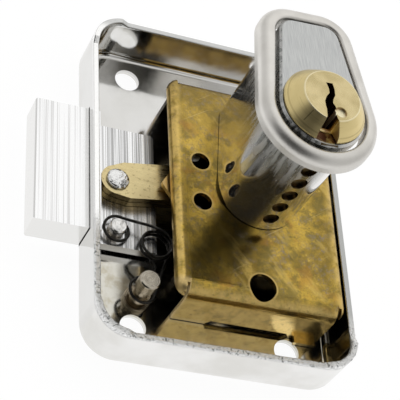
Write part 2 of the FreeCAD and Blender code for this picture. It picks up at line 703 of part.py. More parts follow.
def make_link_rivet():
    """Rivet through tail and link, with a low domed head on the link."""
    head_floor = link_top + size("slide_gap") / 2
    rim = size("link_rivet_head_rim")
    shank = size("link_rivet_radius")
    crown = dome(size("link_rivet_head_radius"), head_floor + rim, size("link_rivet_head_height") - rim)
    make_turned("LinkRivet", "bolt_link_rivet", link_pivot_x, axis_y, [
        (0, size("bolt_floor")), (shank, size("bolt_floor")), (shank, head_floor),
        (size("link_rivet_head_radius"), head_floor)] + crown)


def make_spring_pin():
    """Pin riveted into the tail, which carries one eye of the spring."""
    radius = size("spring_pin_radius")
    top = tail_top + size("spring_pin_height")
    make_turned("SpringPin", "spring_pin", spring_pin_x, size("spring_pin_y"), [
        (0, size("bolt_floor")), (size("spring_pin_shank"), size("bolt_floor")),
        (size("spring_pin_shank"), tail_top), (radius, tail_top),
        (radius, top - size("turned_edge")), (radius - size("turned_edge"), top), (0, top)])


def make_link_plate(name, label, floor):
    """One plate of the drive link: round and flared at the bolt, a slotted eye at the crank."""
    body = place(new_body(name), link_pivot_x, axis_y, 0, link_angle)
    length = math.hypot(link_run_x, link_run_y)
    flare = size("link_flare_length")
    edge = size("link_width") / 2 - size("link_flare_round")
    slot_u = length + size("lost_motion_shift")
    play = size("lost_motion_across")
    bar = new_sketch(body, height=floor)
    draw_belt(bar, [
        (0, 0, size("link_end_radius")), (flare, -edge, size("link_flare_round")),
        (slot_u, 0, size("link_width") / 2), (flare, edge, size("link_flare_round"))])
    add_feature(body, "Pad", bar, size("link_plate_thickness"))
    eye = new_sketch(body, height=floor)
    draw_circle(eye, slot_u, play / 2, size("link_eye_radius"))
    add_feature(body, "Pad", eye, size("link_plate_thickness"))
    cuts = new_sketch(body, height=floor + size("link_plate_thickness"))
    draw_circle(cuts, 0, 0, size("link_rivet_radius") + size("shaft_gap"))
    half = size("crank_pin_radius") + size("pin_clearance") + size("lost_motion_along") / 2
    draw_belt(cuts, [(slot_u, 0, half), (slot_u, play, half)])
    add_feature(body, "Pocket", cuts, size("link_plate_thickness"))
    keep(body, label)


def make_keeper():
    """Pointed bearing plate that holds the link down and centres the crank."""
    body = place(new_body("Keeper"), axis_x, axis_y)
    reach = axis_x - cover_left + size("keeper_overhang")
    shoulder = size("keeper_point_run") - reach
    half = size("keeper_half_width")
    corner = size("keeper_round")
    outline = new_sketch(body, height=size("keeper_floor"))
    draw_belt(outline, [
        (corner - reach, 0, corner), (shoulder + corner, corner - half, corner),
        (size("keeper_back") - corner, corner - half, corner),
        (size("keeper_back") - corner, half - corner, corner), (shoulder + corner, half - corner, corner)])
    add_feature(body, "Pad", outline, size("keeper_thickness"))
    bearing = new_sketch(body, height=keeper_top)
    draw_circle(bearing, 0, 0, size("crank_boss_radius") + size("shaft_gap"))
    add_feature(body, "Pocket", bearing, size("keeper_thickness"))
    swing = new_sketch(body, height=keeper_top)
    way = size("crank_pin_radius") + size("pin_clearance") * 2
    rest = size("crank_rest_angle")
    draw_arc_slot(swing, size("crank_radius"), way, rest - size("crank_swing"), rest)
    add_feature(body, "Pocket", swing, size("keeper_thickness"))
    keep(body, "link_keeper")


def make_keeper_spacers():
    """Four short spacers that hang the keeper from the cover."""
    members = []
    for x in (cover_left + size("spacer_inset"), cover_right - size("spacer_inset")):
        for side in (-1, 1):
            spacer = cylinder(size("spacer_radius"), cover_inside - keeper_top,
                              x, axis_y + size("spacer_y") * side, keeper_top)
            members.append(spacer)
    keep(group("KeeperSpacers", members), "keeper_spacers")


def make_cover():
    """Bent brass cover: long sides turned down a little, end walls down to the case."""
    middle_x = (cover_left + cover_right) / 2
    body = place(new_body("Cover"), middle_x, size("cover_centre_y"))
    half_x = (cover_right - cover_left) / 2
    half_y = size("cover_height") / 2
    corner = size("cover_corner_radius")
    skin = size("cover_sheet")
    height = size("cover_top") - case_wall
    outline = new_sketch(body, height=case_wall)
    draw_belt(outline, rounded_corners(half_x, half_y, corner))
    add_feature(body, "Pad", outline, height)
    dress(body, "Fillet", size("cover_bend_radius"), at_height(size("cover_top")))
    hollow = new_sketch(body, height=case_wall)
    draw_belt(hollow, rounded_corners(half_x - skin, half_y - skin, corner - skin))
    add_feature(body, "Pocket", hollow, height - skin, reverse=True)
    dress(body, "Fillet", size("cover_bend_radius") - skin, at_height(cover_inside))
    sides = new_sketch(body, height=case_wall)
    wall_left = size("cover_wall_inset") - half_x
    wall_right = half_x - size("cover_wall_end")
    draw_rectangle(sides, -half_x - past, -half_y - past, wall_left, half_y + past)
    draw_rectangle(sides, wall_right, -half_y - past, half_x + past, half_y + past)
    add_feature(body, "Pocket", sides, height - size("cover_lip"), reverse=True)
    notches = new_sketch(body, height=size("cover_top"))
    for left in (wall_left - size("relief_width"), wall_right):
        for end in (-1, 1):
            along = sorted(((half_y - size("relief_depth")) * end, (half_y + past) * end), key=number_of)
            draw_rectangle(notches, left, along[0], left + size("relief_width"), along[1])
    add_feature(body, "Pocket", notches, size("cover_lip") + past)
    roll = size("cover_end_bend")
    ends = new_sketch(body, height=size("cover_top"))
    draw_rectangle(ends, wall_left, half_y - roll, wall_right, half_y + past)
    draw_rectangle(ends, wall_left, -half_y - past, wall_right, roll - half_y)
    add_feature(body, "Pocket", ends, height)
    for end in (-1, 1):
        section = new_sketch(body, "YZ_Plane", wall_left)
        draw_bend(section, half_y, size("cover_top"), case_wall, roll, skin, end)
        add_feature(body, "Pad", section, wall_right - wall_left)
    arch = new_sketch(body, "XZ_Plane")
    arch_left = wall_left + size("arch_start")
    arch_right = arch_left + size("arch_width")
    arch_top = case_wall + size("arch_height")
    slant = size("arch_slant")
    draw_polygon(arch, [
        (arch_left, case_wall - past), (arch_right, case_wall - past), (arch_right, case_wall),
        (arch_right - slant, arch_top), (arch_left + slant, arch_top), (arch_left, case_wall)])
    add_feature(body, "Pocket", arch, size("cover_height") + past * 2, midplane=True)
    tab = new_sketch(body, height=case_wall)
    tab_right = wall_right - size("tab_inset")
    tab_left = tab_right - size("tab_width")
    draw_rectangle(tab, tab_left, -half_y - size("tab_length"), tab_right, skin / 2 - half_y)
    add_feature(body, "Pad", tab, skin)
    holes = new_sketch(body, height=size("cover_top"))
    to_axis_x = axis_x - middle_x
    to_axis_y = axis_y - size("cover_centre_y")
    for side in (-1, 1):
        hole_x = size("cover_side_hole_inset") - half_x
        hole_y = to_axis_y + size("cover_side_hole_y") * side
        draw_circle(holes, hole_x, hole_y, size("cover_side_hole_diameter") / 2)
        screw_x, screw_y = turned(size("cylinder_screw_x") * side, size("cylinder_screw_y"))
        draw_circle(holes, to_axis_x + screw_x, to_axis_y + screw_y,
                    size("cylinder_screw_radius") + size("shaft_gap"))
    draw_circle(holes, to_axis_x + size("cover_large_hole_x"), to_axis_y + size("cover_large_hole_y"),
                size("cover_large_hole_diameter") / 2)
    draw_circle(holes, to_axis_x, to_axis_y, size("cover_axis_hole_radius"))
    add_feature(body, "Pocket", holes, skin + past)
    keep(body, "mechanism_cover")


def make_crank():
    """Crank plate with a hub, a boss that turns in the keeper and a slot for the flat bar."""
    body = place(new_body("Crank"), axis_x, axis_y, 0, cylinder_turn.value)
    pin_x = size("crank_radius") * cosine(size("crank_rest_angle") - cylinder_turn)
    pin_y = size("crank_radius") * sine(size("crank_rest_angle") - cylinder_turn)
    arm = new_sketch(body, height=crank_floor)
    draw_belt(arm, [(0, 0, size("crank_hub_radius")), (pin_x, pin_y, size("crank_tip_radius"))])
    add_feature(body, "Pad", arm, size("crank_thickness"))
    boss = new_sketch(body, height=crank_floor)
    draw_circle(boss, 0, 0, size("crank_boss_radius"))
    add_feature(body, "Pad", boss, crank_floor - size("keeper_floor"), reverse=True)
    cuts = new_sketch(body, height=crank_floor + size("crank_thickness"))
    draw_circle(cuts, pin_x, pin_y, size("crank_pin_radius") + size("rivet_gap"))
    half_width = size("tail_bar_width") / 2 + size("rivet_gap")
    half_thickness = size("tail_bar_thickness") / 2 + size("rivet_gap")
    draw_rectangle(cuts, -half_width, -half_thickness, half_width, half_thickness)
    add_feature(body, "Pocket", cuts, None)
    keep(body, "crank")
    top = crank_floor + size("crank_thickness")
    foot = link_floor + size("slide_gap")
    pin = cylinder(size("crank_pin_radius"), top - foot, crank_pin_x, crank_pin_y, foot)
    keep(pin, "crank_pin")
    bar = place(new_body("TailBar"), axis_x, axis_y, 0, cylinder_turn.value)
    bar_floor = size("keeper_floor") + size("slide_gap")
    bar_top = web_floor - size("plug_neck_drop") + size("tail_bar_grip")
    section = new_sketch(bar, height=bar_floor)
    half_width = size("tail_bar_width") / 2
    half_thickness = size("tail_bar_thickness") / 2
    draw_rectangle(section, -half_width, -half_thickness, half_width, half_thickness)
    add_feature(bar, "Pad", section, bar_top - bar_floor)
    keep(bar, "plug_tail_bar")


def pear(offset, tip_offset):
    """Three circles whose belt is the pear outline of the barrel, grown by two offsets."""
    tip = size("barrel_tip_radius") + tip_offset
    return [(0, 0, size("barrel_radius") + offset),
            (size("barrel_tip_x"), size("barrel_tip_y"), tip),
            (-size("barrel_tip_x"), size("barrel_tip_y"), tip)]


def make_barrel():
    """Pear-shaped cylinder barrel with a plug bore and five pin chambers."""
    body = place(new_body("Barrel"), axis_x, axis_y, 0, cylinder_turn.value)
    outline = new_sketch(body, height=size("cover_top"))
    draw_belt(outline, pear(0, 0))
    add_feature(body, "Pad", outline, size("barrel_length"))
    dress(body, "Chamfer", size("barrel_edge"), at_height(face_level))
    bore = new_sketch(body, height=face_level)
    draw_circle(bore, 0, 0, bore_radius)
    add_feature(body, "Pocket", bore, face_level - web_top)
    neck = new_sketch(body, height=face_level)
    draw_circle(neck, 0, 0, size("plug_neck_radius") + size("shaft_gap"))
    add_feature(body, "Pocket", neck, None)
    recess = new_sketch(body, height=size("cover_top"))
    draw_circle(recess, 0, 0, size("barrel_recess_radius"))
    add_feature(body, "Pocket", recess, size("barrel_web_floor"), reverse=True)
    chamber = new_sketch(body, "XZ_Plane", size("barrel_radius") + past)
    draw_circle(chamber, 0, chamber_level, size("chamber_radius"))
    cut = add_feature(body, "Pocket", chamber, size("barrel_radius") + past + size("chamber_end"))
    repeat_along_z(body, cut)
    screws = new_sketch(body, height=size("cover_top"))
    for side in (-1, 1):
        draw_circle(screws, size("cylinder_screw_x") * side, size("cylinder_screw_y"),
                    size("cylinder_screw_radius") + size("rivet_gap"))
    add_feature(body, "Pocket", screws, size("cylinder_screw_grip") + past, reverse=True)
    keep(body, "cylinder_barrel")


def repeat_along_z(body, feature):
    """Repeat one chamber for each pair of pins."""
    pattern = body.newObject("PartDesign::LinearPattern", body.Name + "Chambers")
    pattern.Originals = [feature]
    axes = [item for item in body.Origin.OriginFeatures if item.Role == "Z_Axis"]
    pattern.Direction = (axes[0], [""])
    count = len(KEY_PIN_LENGTHS)
    pattern.Occurrences = count
    span = size("chamber_pitch") * (count - 1)
    pattern.Length = span.value
    bind(pattern, "Length", span)
    body.Tip = pattern
    doc.recompute()


def make_plug():
    """Plug with a domed head, a curved keyway, a flared mouth and a neck for the clip."""
    body = place(new_body("Plug"), axis_x, axis_y, 0, cylinder_turn.value)
    head_floor = face_level + size("slide_gap")
    rim_top = head_floor + size("plug_head_rim")
    head_top = head_floor + size("plug_head_height")
    neck_floor = web_floor - size("plug_neck_drop")
    clip_floor = web_floor - size("clip_thickness") - size("slide_gap")
    head = size("plug_head_radius")
    flat = size("plug_flat_radius")
    bulge = size("plug_dome_bulge")
    dome_middle = ((head + flat) / 2 + bulge, (rim_top + head_top) / 2 + bulge)
    neck = size("plug_neck_radius")
    groove = size("clip_groove_radius")
    profile = new_sketch(body, "XZ_Plane")
    draw_polygon(profile, [
        (0, neck_floor), (neck, neck_floor), (neck, clip_floor), (groove, clip_floor),
        (groove, web_floor), (neck, web_floor), (neck, web_top + size("slide_gap")),
        (size("plug_radius"), web_top + size("slide_gap")), (size("plug_radius"), head_floor),
        (head, head_floor), (head, rim_top), dome_middle, (flat, head_top), (0, head_top)])
    revolve(body, profile)
    keyway = new_sketch(body, height=head_top)
    draw_polygon(keyway, KEYWAY_LEFT + KEYWAY_RIGHT)
    add_feature(body, "Pocket", keyway, head_top - web_top - size("keyway_floor"))
    mouth = new_sketch(body, height=head_top)
    draw_polygon(mouth, KEYWAY_MOUTH)
    add_feature(body, "Pocket", mouth, size("plug_head_height"))
    dimple = new_sketch(body, height=head_top)
    draw_circle(dimple, size("dimple_x"), size("dimple_y"), size("dimple_radius"))
    add_feature(body, "Pocket", dimple, size("dimple_depth"))
    chamber = new_sketch(body, "XZ_Plane")
    draw_circle(chamber, 0, chamber_level, size("chamber_radius"))
    cut = add_feature(body, "Pocket", chamber, size("plug_radius") + past)
    repeat_along_z(body, cut)
    socket = new_sketch(body, height=neck_floor)
    half_width = size("tail_bar_width") / 2 + size("rivet_gap")
    half_thickness = size("tail_bar_thickness") / 2 + size("rivet_gap")
    draw_rectangle(socket, -half_width, -half_thickness, half_width, half_thickness)
    add_feature(body, "Pocket", socket, size("tail_bar_grip") + size("rivet_gap"), reverse=True)
    keep(body, "plug")


def make_plug_clip():
    """Open ring in the groove of the neck, behind the web of the barrel."""
    turn = size("clip_opening").value / 2
    body = place(new_body("PlugClip"), axis_x, axis_y, 0, turn)
    top = web_floor - size("slide_gap") / 2
    floor = top - size("clip_thickness")
    inner = size("clip_groove_radius") + size("rivet_gap")
    section = new_sketch(body, "XZ_Plane")
    draw_rectangle(section, inner, floor, size("clip_radius"), top)
    revolve(body, section, 360 - size("clip_opening"))
    keep(body, "plug_clip")


def chamber_heights():
    return [chamber_level + size("chamber_pitch") * step for step in range(len(KEY_PIN_LENGTHS))]


def make_pins():
    """Closing plugs, key pins, driver pins and springs, one of each in every chamber."""
    closers = []
    key_pins = []
    drivers = []
    springs = []
    shear = size("plug_radius")
    pin_radius = size("pin_radius")
    for height, length in zip(chamber_heights(), KEY_PIN_LENGTHS):
        closer_run = size("chamber_plug_recess") - size("barrel_radius")
        closer = cylinder(size("chamber_radius") - size("rivet_gap"), size("chamber_plug_length"), 0, 0, 0)
        closers.append(lay_in_chamber(closer, closer_run, height))
        cone = doc.addObject("Part::Cone", "PinPoint")
        cone.Radius1 = pin_radius.value / 2
        cone.Radius2 = pin_radius.value
        cone.Height = size("key_pin_cone").value
        bind(cone, "Radius1", pin_radius / 2)
        bind(cone, "Radius2", pin_radius)
        bind(cone, "Height", size("key_pin_cone"))
        point_run = shear - size("shear_gap") - length
        lay_in_chamber(cone, point_run, height)
        shank = cylinder(pin_radius, length - size("key_pin_cone"), 0, 0, 0)
        lay_in_chamber(shank, point_run + size("key_pin_cone"), height)
        pin = doc.addObject("Part::Fuse", "KeyPin")
        pin.Base = cone
        pin.Tool = shank
        key_pins.append(pin)
        driver_run = shear + size("shear_gap")
        driver = cylinder(pin_radius, size("driver_length"), 0, 0, 0)
        drivers.append(lay_in_chamber(driver, driver_run, height))
        spring_run = driver_run + size("driver_length")
        spring_length = size("chamber_end") - spring_run
        outside = cylinder(pin_radius, spring_length, 0, 0, 0)
        inside = cylinder(size("spring_bore"), spring_length, 0, 0, 0)
        sleeve = doc.addObject("Part::Cut", "PinSpring")
        sleeve.Base = lay_in_chamber(outside, spring_run, height)
        sleeve.Tool = lay_in_chamber(inside, spring_run, height)
        springs.append(sleeve)
    keep(group("ChamberPlugs", closers), "chamber_plugs")
    keep(group("KeyPins", key_pins), "key_pins")
    keep(group("DriverPins", drivers), "driver_pins")
    keep(group("PinSprings", springs), "pin_springs")


def make_cylinder_screws():
    """Two screws from under the cover into the foot of the barrel."""
    members = []
    for side in (-1, 1):
        run_x, run_y = turned(size("cylinder_screw_x") * side, size("cylinder_screw_y"))
        x = axis_x + run_x
        y = axis_y + run_y
        shank = cylinder(size("cylinder_screw_radius"), size("cylinder_screw_grip") + size("cover_sheet"),
                         x, y, cover_inside)
        head = cylinder(size("cylinder_screw_head"), size("cylinder_screw_head_height"),
                        x, y, cover_inside - size("cylinder_screw_head_height"))
        screw = doc.addObject("Part::Fuse", "CylinderScrew")
        screw.Base = head
        screw.Tool = shank
        members.append(screw)
    keep(group("CylinderScrews", members), "cylinder_screws")


def make_rosette():
    """Rounded ring that lies on the outside of the door, round the barrel."""
    body = place(new_body("Rosette"), axis_x, axis_y, 0, cylinder_turn.value)
    inner = size("rosette_gap")
    outer = pear(inner + size("rosette_band"), inner + size("rosette_tip_band"))
    top = rosette_floor + size("rosette_height")
    ring = new_sketch(body, height=rosette_floor)
    draw_belt(ring, outer)
    add_feature(body, "Pad", ring, size("rosette_height"))
    dress(body, "Fillet", size("rosette_outer_round"), at_height(top))
    opening = new_sketch(body, height=top)
    draw_belt(opening, pear(inner, inner))
    add_feature(body, "Pocket", opening, None)
    inner_span = size("barrel_radius") + inner + size("rivet_gap")

    def inner_edge(edge):
        box = edge.BoundBox
        level = abs(box.ZMin - top.value) < 1e-4 and abs(box.ZMax - top.value) < 1e-4
        return level and abs(box.XMin) < inner_span.value and abs(box.XMax) < inner_span.value
    dress(body, "Fillet", size("rosette_inner_round"), inner_edge)
    keep(body, "rosette")


def make_spring_post():
    """Turned post on the case, with a waist that holds the other eye of the spring."""
    head = size("post_head_radius")
    edge = size("turned_edge")
    waist = size("post_waist_radius")
    collar = size("post_collar_radius")
    foot_top = case_wall + size("post_foot_height")
    collar_floor = size("post_collar_top") - size("post_collar_height")
    make_turned("SpringPost", "spring_post", post_x, size("post_y"), [
        (0, 0), (size("post_shank_radius"), 0), (size("post_shank_radius"), case_wall),
        (size("post_foot_radius"), case_wall), (size("post_foot_radius"), foot_top),
        (waist, foot_top), (waist, collar_floor), (collar, collar_floor),
        (collar, size("post_collar_top")), (waist, size("post_collar_top")),
        (waist, size("post_head_floor")), (head, size("post_head_floor")),
        (head, size("post_top") - edge), (head - edge, size("post_top")), (0, size("post_top"))])


def make_spring_guard():
    """Bent steel tongue that keeps the spring's coil down."""
    body = place(new_body("SpringGuard"))
    floor = size("guard_floor")
    left = guard_left
    right = guard_right
    skin = size("guard_thickness")
    near = size("guard_near_y")
    corner = skin
    far = size("guard_far_y")
    plate = new_sketch(body, height=floor)
    draw_belt(plate, [
        (left + corner, near + corner, corner), (right - corner, near + corner, corner),
        (right - corner, far - corner, corner), (left + corner, far - corner, corner)])
    add_feature(body, "Pad", plate, skin)
    riser_top = size("bolt_centre_y") - size("bolt_width") / 2 - size("slot_gap") * 2
    riser = new_sketch(body, height=case_wall)
    draw_rectangle(riser, right - skin * 2, near + corner, right - skin, riser_top)
    add_feature(body, "Pad", riser, floor - case_wall + skin / 2)
    foot = new_sketch(body, height=case_wall)
    foot_right = right - skin + size("guard_foot_length")
    draw_rectangle(foot, right - skin * 2, near + corner, foot_right, riser_top)
    add_feature(body, "Pad", foot, skin)
    keep(body, "spring_guard")


def arc_edge(start, heading, stop):
    """The circular arc from a point, along a heading, to another point."""
    chord = stop - start
    along = chord.normalize() if chord.Length > 0 else heading
    chord = stop - start
    cosine_half = max(-1.0, min(1.0, heading.dot(along)))
    half = math.acos(cosine_half)
    side = heading - along * cosine_half
    if side.Length < 1e-9:
        return Part.LineSegment(start, stop).toShape()
    side.normalize()
    middle = (start + stop) * 0.5 + side * (chord.Length / 2 * math.tan(half / 2))
    return Part.Arc(start, middle, stop).toShape()


def biarc(start, heading, stop, arrival):
    """Two arcs that leave one point and reach another along given headings."""
    chord = stop - start
    blend = heading + arrival
    quadratic = 2 * (1 - heading.dot(arrival))
    linear = 2 * chord.dot(blend)
    constant = -chord.dot(chord)
    if abs(quadratic) < 1e-9:
        reach = -constant / linear
    else:
        reach = (-linear + math.sqrt(linear * linear - 4 * quadratic * constant)) / (2 * quadratic)
    joint = (start + stop + (heading - arrival) * reach) * 0.5
    edges = [arc_edge(start, heading, joint)]
    back = arc_edge(stop, arrival * -1, joint)
    middle = back.valueAt((back.FirstParameter + back.LastParameter) / 2)
    along = (stop - joint).cross(middle - joint).Length
    if along < 1e-9:
        edges.append(Part.LineSegment(joint, stop).toShape())
    else:
        edges.append(Part.Arc(joint, middle, stop).toShape())
    return edges


def outer_tangent(centre, radius, other, other_radius):
    """Angle at which a clockwise belt leaves one circle for the next, both on its right."""
    run = other - centre
    return math.atan2(run.y, run.x) + math.acos((radius - other_radius) / math.hypot(run.x, run.y))


def turn_stations(centre, radius, start, stop, low, high):
    """Points and headings every quarter turn or less, clockwise, between two heights."""
    span = start - stop
    count = max(1, math.ceil(span / (math.pi / 2) - 1e-6))
    stations = []
    for step in range(count + 1):
        share = step / count
        angle = start - span * share
        climb = (high - low) / span
        heading = FreeCAD.Vector(math.sin(angle) * radius, -math.cos(angle) * radius, climb)
        heading.normalize()
        point = FreeCAD.Vector(centre.x + radius * math.cos(angle), centre.y + radius * math.sin(angle),
                               low + (high - low) * share)
        stations.append((point, heading))
    return stations


def make_toggle_spring():
    """Wire spring: an eye round the pin, an arm, a coil, an arm and an eye round the post."""
    wire = number_of(size("spring_wire"))
    eye = number_of(size("spring_eye_radius"))
    coil = number_of(size("spring_coil_radius"))
    pin_at = FreeCAD.Vector(number_of(spring_pin_x), number_of(size("spring_pin_y")), 0)
    coil_at = FreeCAD.Vector(number_of(spring_coil_x), number_of(size("spring_coil_y")), 0)
    post_at = FreeCAD.Vector(number_of(post_x), number_of(size("post_y")), 0)
    top = number_of(size("spring_top"))
    pitch = number_of(size("spring_pitch"))
    eye_pitch = number_of(size("spring_eye_pitch"))
    pin_z = number_of(size("spring_pin_eye_z"))
    post_z = number_of(size("spring_post_eye_z"))
    full = 2 * math.pi
    leave_pin = outer_tangent(pin_at, eye, coil_at, coil)
    leave_coil = outer_tangent(coil_at, coil, post_at, eye)
    while leave_coil > leave_pin:
        leave_coil -= full
    leave_coil -= full * number_of(size("spring_coil_turns"))
    turned = leave_pin - leave_coil
    low = top - pitch * turned / full
    pin_turns = number_of(size("spring_pin_eye_turns"))
    post_turns = number_of(size("spring_post_eye_turns"))
    pin_start = leave_pin + full * pin_turns
    stations = turn_stations(pin_at, eye, pin_start, leave_pin, pin_z - eye_pitch * pin_turns, pin_z)
    coil_stations = turn_stations(coil_at, coil, leave_pin, leave_coil, top, low)
    post_end = leave_coil - full * post_turns
    post_rise = post_z + eye_pitch * post_turns
    post_stations = turn_stations(post_at, eye, leave_coil, post_end, post_z, post_rise)
    edges = []
    previous = None
    for run in (stations, coil_stations, post_stations):
        if previous is not None:
            edges += biarc(previous[0], previous[1], run[0][0], run[0][1])
        for first, second in zip(run, run[1:]):
            edges += biarc(first[0], first[1], second[0], second[1])
        previous = run[-1]
    path = Part.Wire(edges)
    start, heading = stations[0]
    section = Part.Wire([Part.Circle(start, heading, wire / 2).toShape()])
    tube = path.makePipeShell([section], True, False)
    points = []
    travelled = []
    distance = 0.0
    for edge in edges:
        samples = edge.discretize(9)
        for point in samples[:-1]:
            if points:
                distance += (point - points[-1]).Length
            points.append(point)
            travelled.append(distance)
    least = min((first - second).Length
                for index, first in enumerate(points)
                for other, second in enumerate(points[index + 1:], start=index + 1)
                if travelled[other] - travelled[index] > 3 * wire)
    print("toggle_spring: least gap to itself %.2f mm, wire length %.1f mm" % (least - wire, path.Length))
    spring = doc.addObject("Part::Feature", "ToggleSpring")
    spring.Shape = tube
    place(spring)
    keep(spring, "toggle_spring")


make_case()
make_bolt_rest_strip()
make_bolt()
make_link_rivet()
make_spring_pin()
make_link_plate("LinkLower", "drive_link_lower", link_floor)
make_link_plate("LinkUpper", "drive_link_upper", upper_link_floor)
make_keeper()
make_keeper_spacers()
make_cover()
make_crank()
make_barrel()
make_plug()
make_plug_clip()
make_pins()
make_cylinder_screws()
make_rosette()
make_spring_post()
make_spring_guard()
make_toggle_spring()
doc.recompute()

failed = []
for thing in doc.Objects:
    if "Invalid" in thing.State or "Error" in thing.State:
        failed.append("%s: %s" % (thing.Name, ", ".join(thing.State)))
for part in PARTS:
    if part.Shape.isNull() or not part.Shape.isValid():
        failed.append("%s: no valid shape" % part.Label)
if failed:
    raise RuntimeError("; ".join(failed))

os.makedirs("parts", exist_ok=True)
for part in PARTS:
    part.Shape.exportStep(os.path.join("parts", part.Label + ".step"))
    print("%-18s %7.1f mm3, %d solids" % (part.Label, part.Shape.Volume, len(part.Shape.Solids)))
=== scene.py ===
import math

import bpy
import numpy as np
from mathutils import Matrix, Vector


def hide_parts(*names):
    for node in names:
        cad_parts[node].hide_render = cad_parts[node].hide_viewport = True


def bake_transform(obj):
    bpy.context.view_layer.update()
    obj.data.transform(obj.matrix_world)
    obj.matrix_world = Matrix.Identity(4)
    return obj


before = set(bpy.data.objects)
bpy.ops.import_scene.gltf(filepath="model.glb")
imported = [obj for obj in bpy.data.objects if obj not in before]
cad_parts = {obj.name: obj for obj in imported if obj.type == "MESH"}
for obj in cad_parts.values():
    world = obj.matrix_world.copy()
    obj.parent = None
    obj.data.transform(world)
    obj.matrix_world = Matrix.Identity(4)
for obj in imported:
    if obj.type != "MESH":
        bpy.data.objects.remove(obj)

MILLIMETRES_IN_METRE = 1000.0

# Places of the lock in its own frame, in millimetres: X and Y from the middle of the
# screw holes, Z from the back of the case.
AXIS = (6.65, -0.7)
CYLINDER_TURN = math.radians(3.0)
CASE_LEFT = -25.35
CASE_RIM = 10.4
CASE_FLOOR = 1.2
COVER_TOP = 11.2
COVER_SIDES = (-10.15, 22.95)
COVER_ENDS = (-24.9, 23.1)
SIDE_BEND = 1.5
END_BEND = 3.0
COVER_HOLES = (((-4.65, 3.8), 1.83), ((-4.65, -5.2), 1.83), ((6.25, -21.3), 2.65))
KEY_FACE = 38.5
RIVET = (-19.45, AXIS[1])
PIN = (-19.15, -10.3)
COIL = (-11.75, -12.7)
POST = (-14.45, -22.3)

# Levels above the back, in millimetres, from which the turned pieces take a painted brown reflection
# and shade downward.
RIVET_BROWN_FROM = 7.0
PIN_BROWN_FROM = 6.0
POST_BROWN_FROM = 9.5

# The plug's head, in millimetres: its top, and radii and the pocket's place from the cylinder's axis.
HEAD_TOP = 42.0
HEAD_FACE_RADIUS = 5.3
HEAD_FOOT_RADIUS = 7.3
SCRIBED_MIDDLE = 6.3
SCRIBED_ANGLE = math.radians(225.0)
POCKET = (1.14, -3.32)
POCKET_RADIUS = 1.04

# The toggle spring, in millimetres: the wire, then radii, heights, climb and turns of its centre line.
WIRE_RADIUS = 0.275
EYE_RADIUS = 2.45
COIL_RADIUS = 2.85
PIN_EYE_HEIGHT = 5.3
POST_EYE_HEIGHT = 4.6
COIL_TOP = 6.55
PITCH = 1.05
PIN_EYE_TURNS = 0.88
POST_EYE_TURNS = 0.9
COIL_TURNS = 2
FULL_TURN = 2 * math.pi

# How finely the wire is drawn: sides of its tube, points of a helix and of an arm.
TUBE_SIDES = 14
HELIX_LEAST_POINTS = 40
HELIX_POINTS_PER_RADIAN = 18
ARM_POINTS = 26

# The camera, fitted to the photograph: places in metres, lens in millimetres.
CAMERA_SPOT = (-0.09552318, -0.15151514, 0.20785987)
CAMERA_TARGET = (-0.00558609, -0.00563428, 0.012)
CAMERA_ROLL = math.radians(36.08452)
CAMERA_LENS = 128.98391
SENSOR_WIDTH = 36.0

# The two sides of the sky: a direction, the nearness to it (1 is straight at it) at which the
# light starts and stops to change, and the level before and after.
BRIGHT_SIDE = ((0.346, 0.562, 0.753), (0.55, 0.93), (0.68, 0.93))
DARK_SIDE = ((-0.45, -0.55, 0.7), (0.67, 0.88), (1.0, 0.05))

# Lamps: place and side of the square in metres, and radiance in watts per square metre and steradian.
LAMPS = {
    "box_above": ((0.1, 0.45, 0.75), 0.45, 0.12),
    "box_left": ((-0.6, 0.1, 0.5), 0.35, 0.15),
}
LAMP_TARGET = (0.0, 0.0, 0.01)

# The floor: half its side in metres, its glow and how much of the glow shows.
FLOOR_REACH = 1.5
FLOOR_GLOW = 1.07
FLOOR_GLOW_SHARE = 0.88

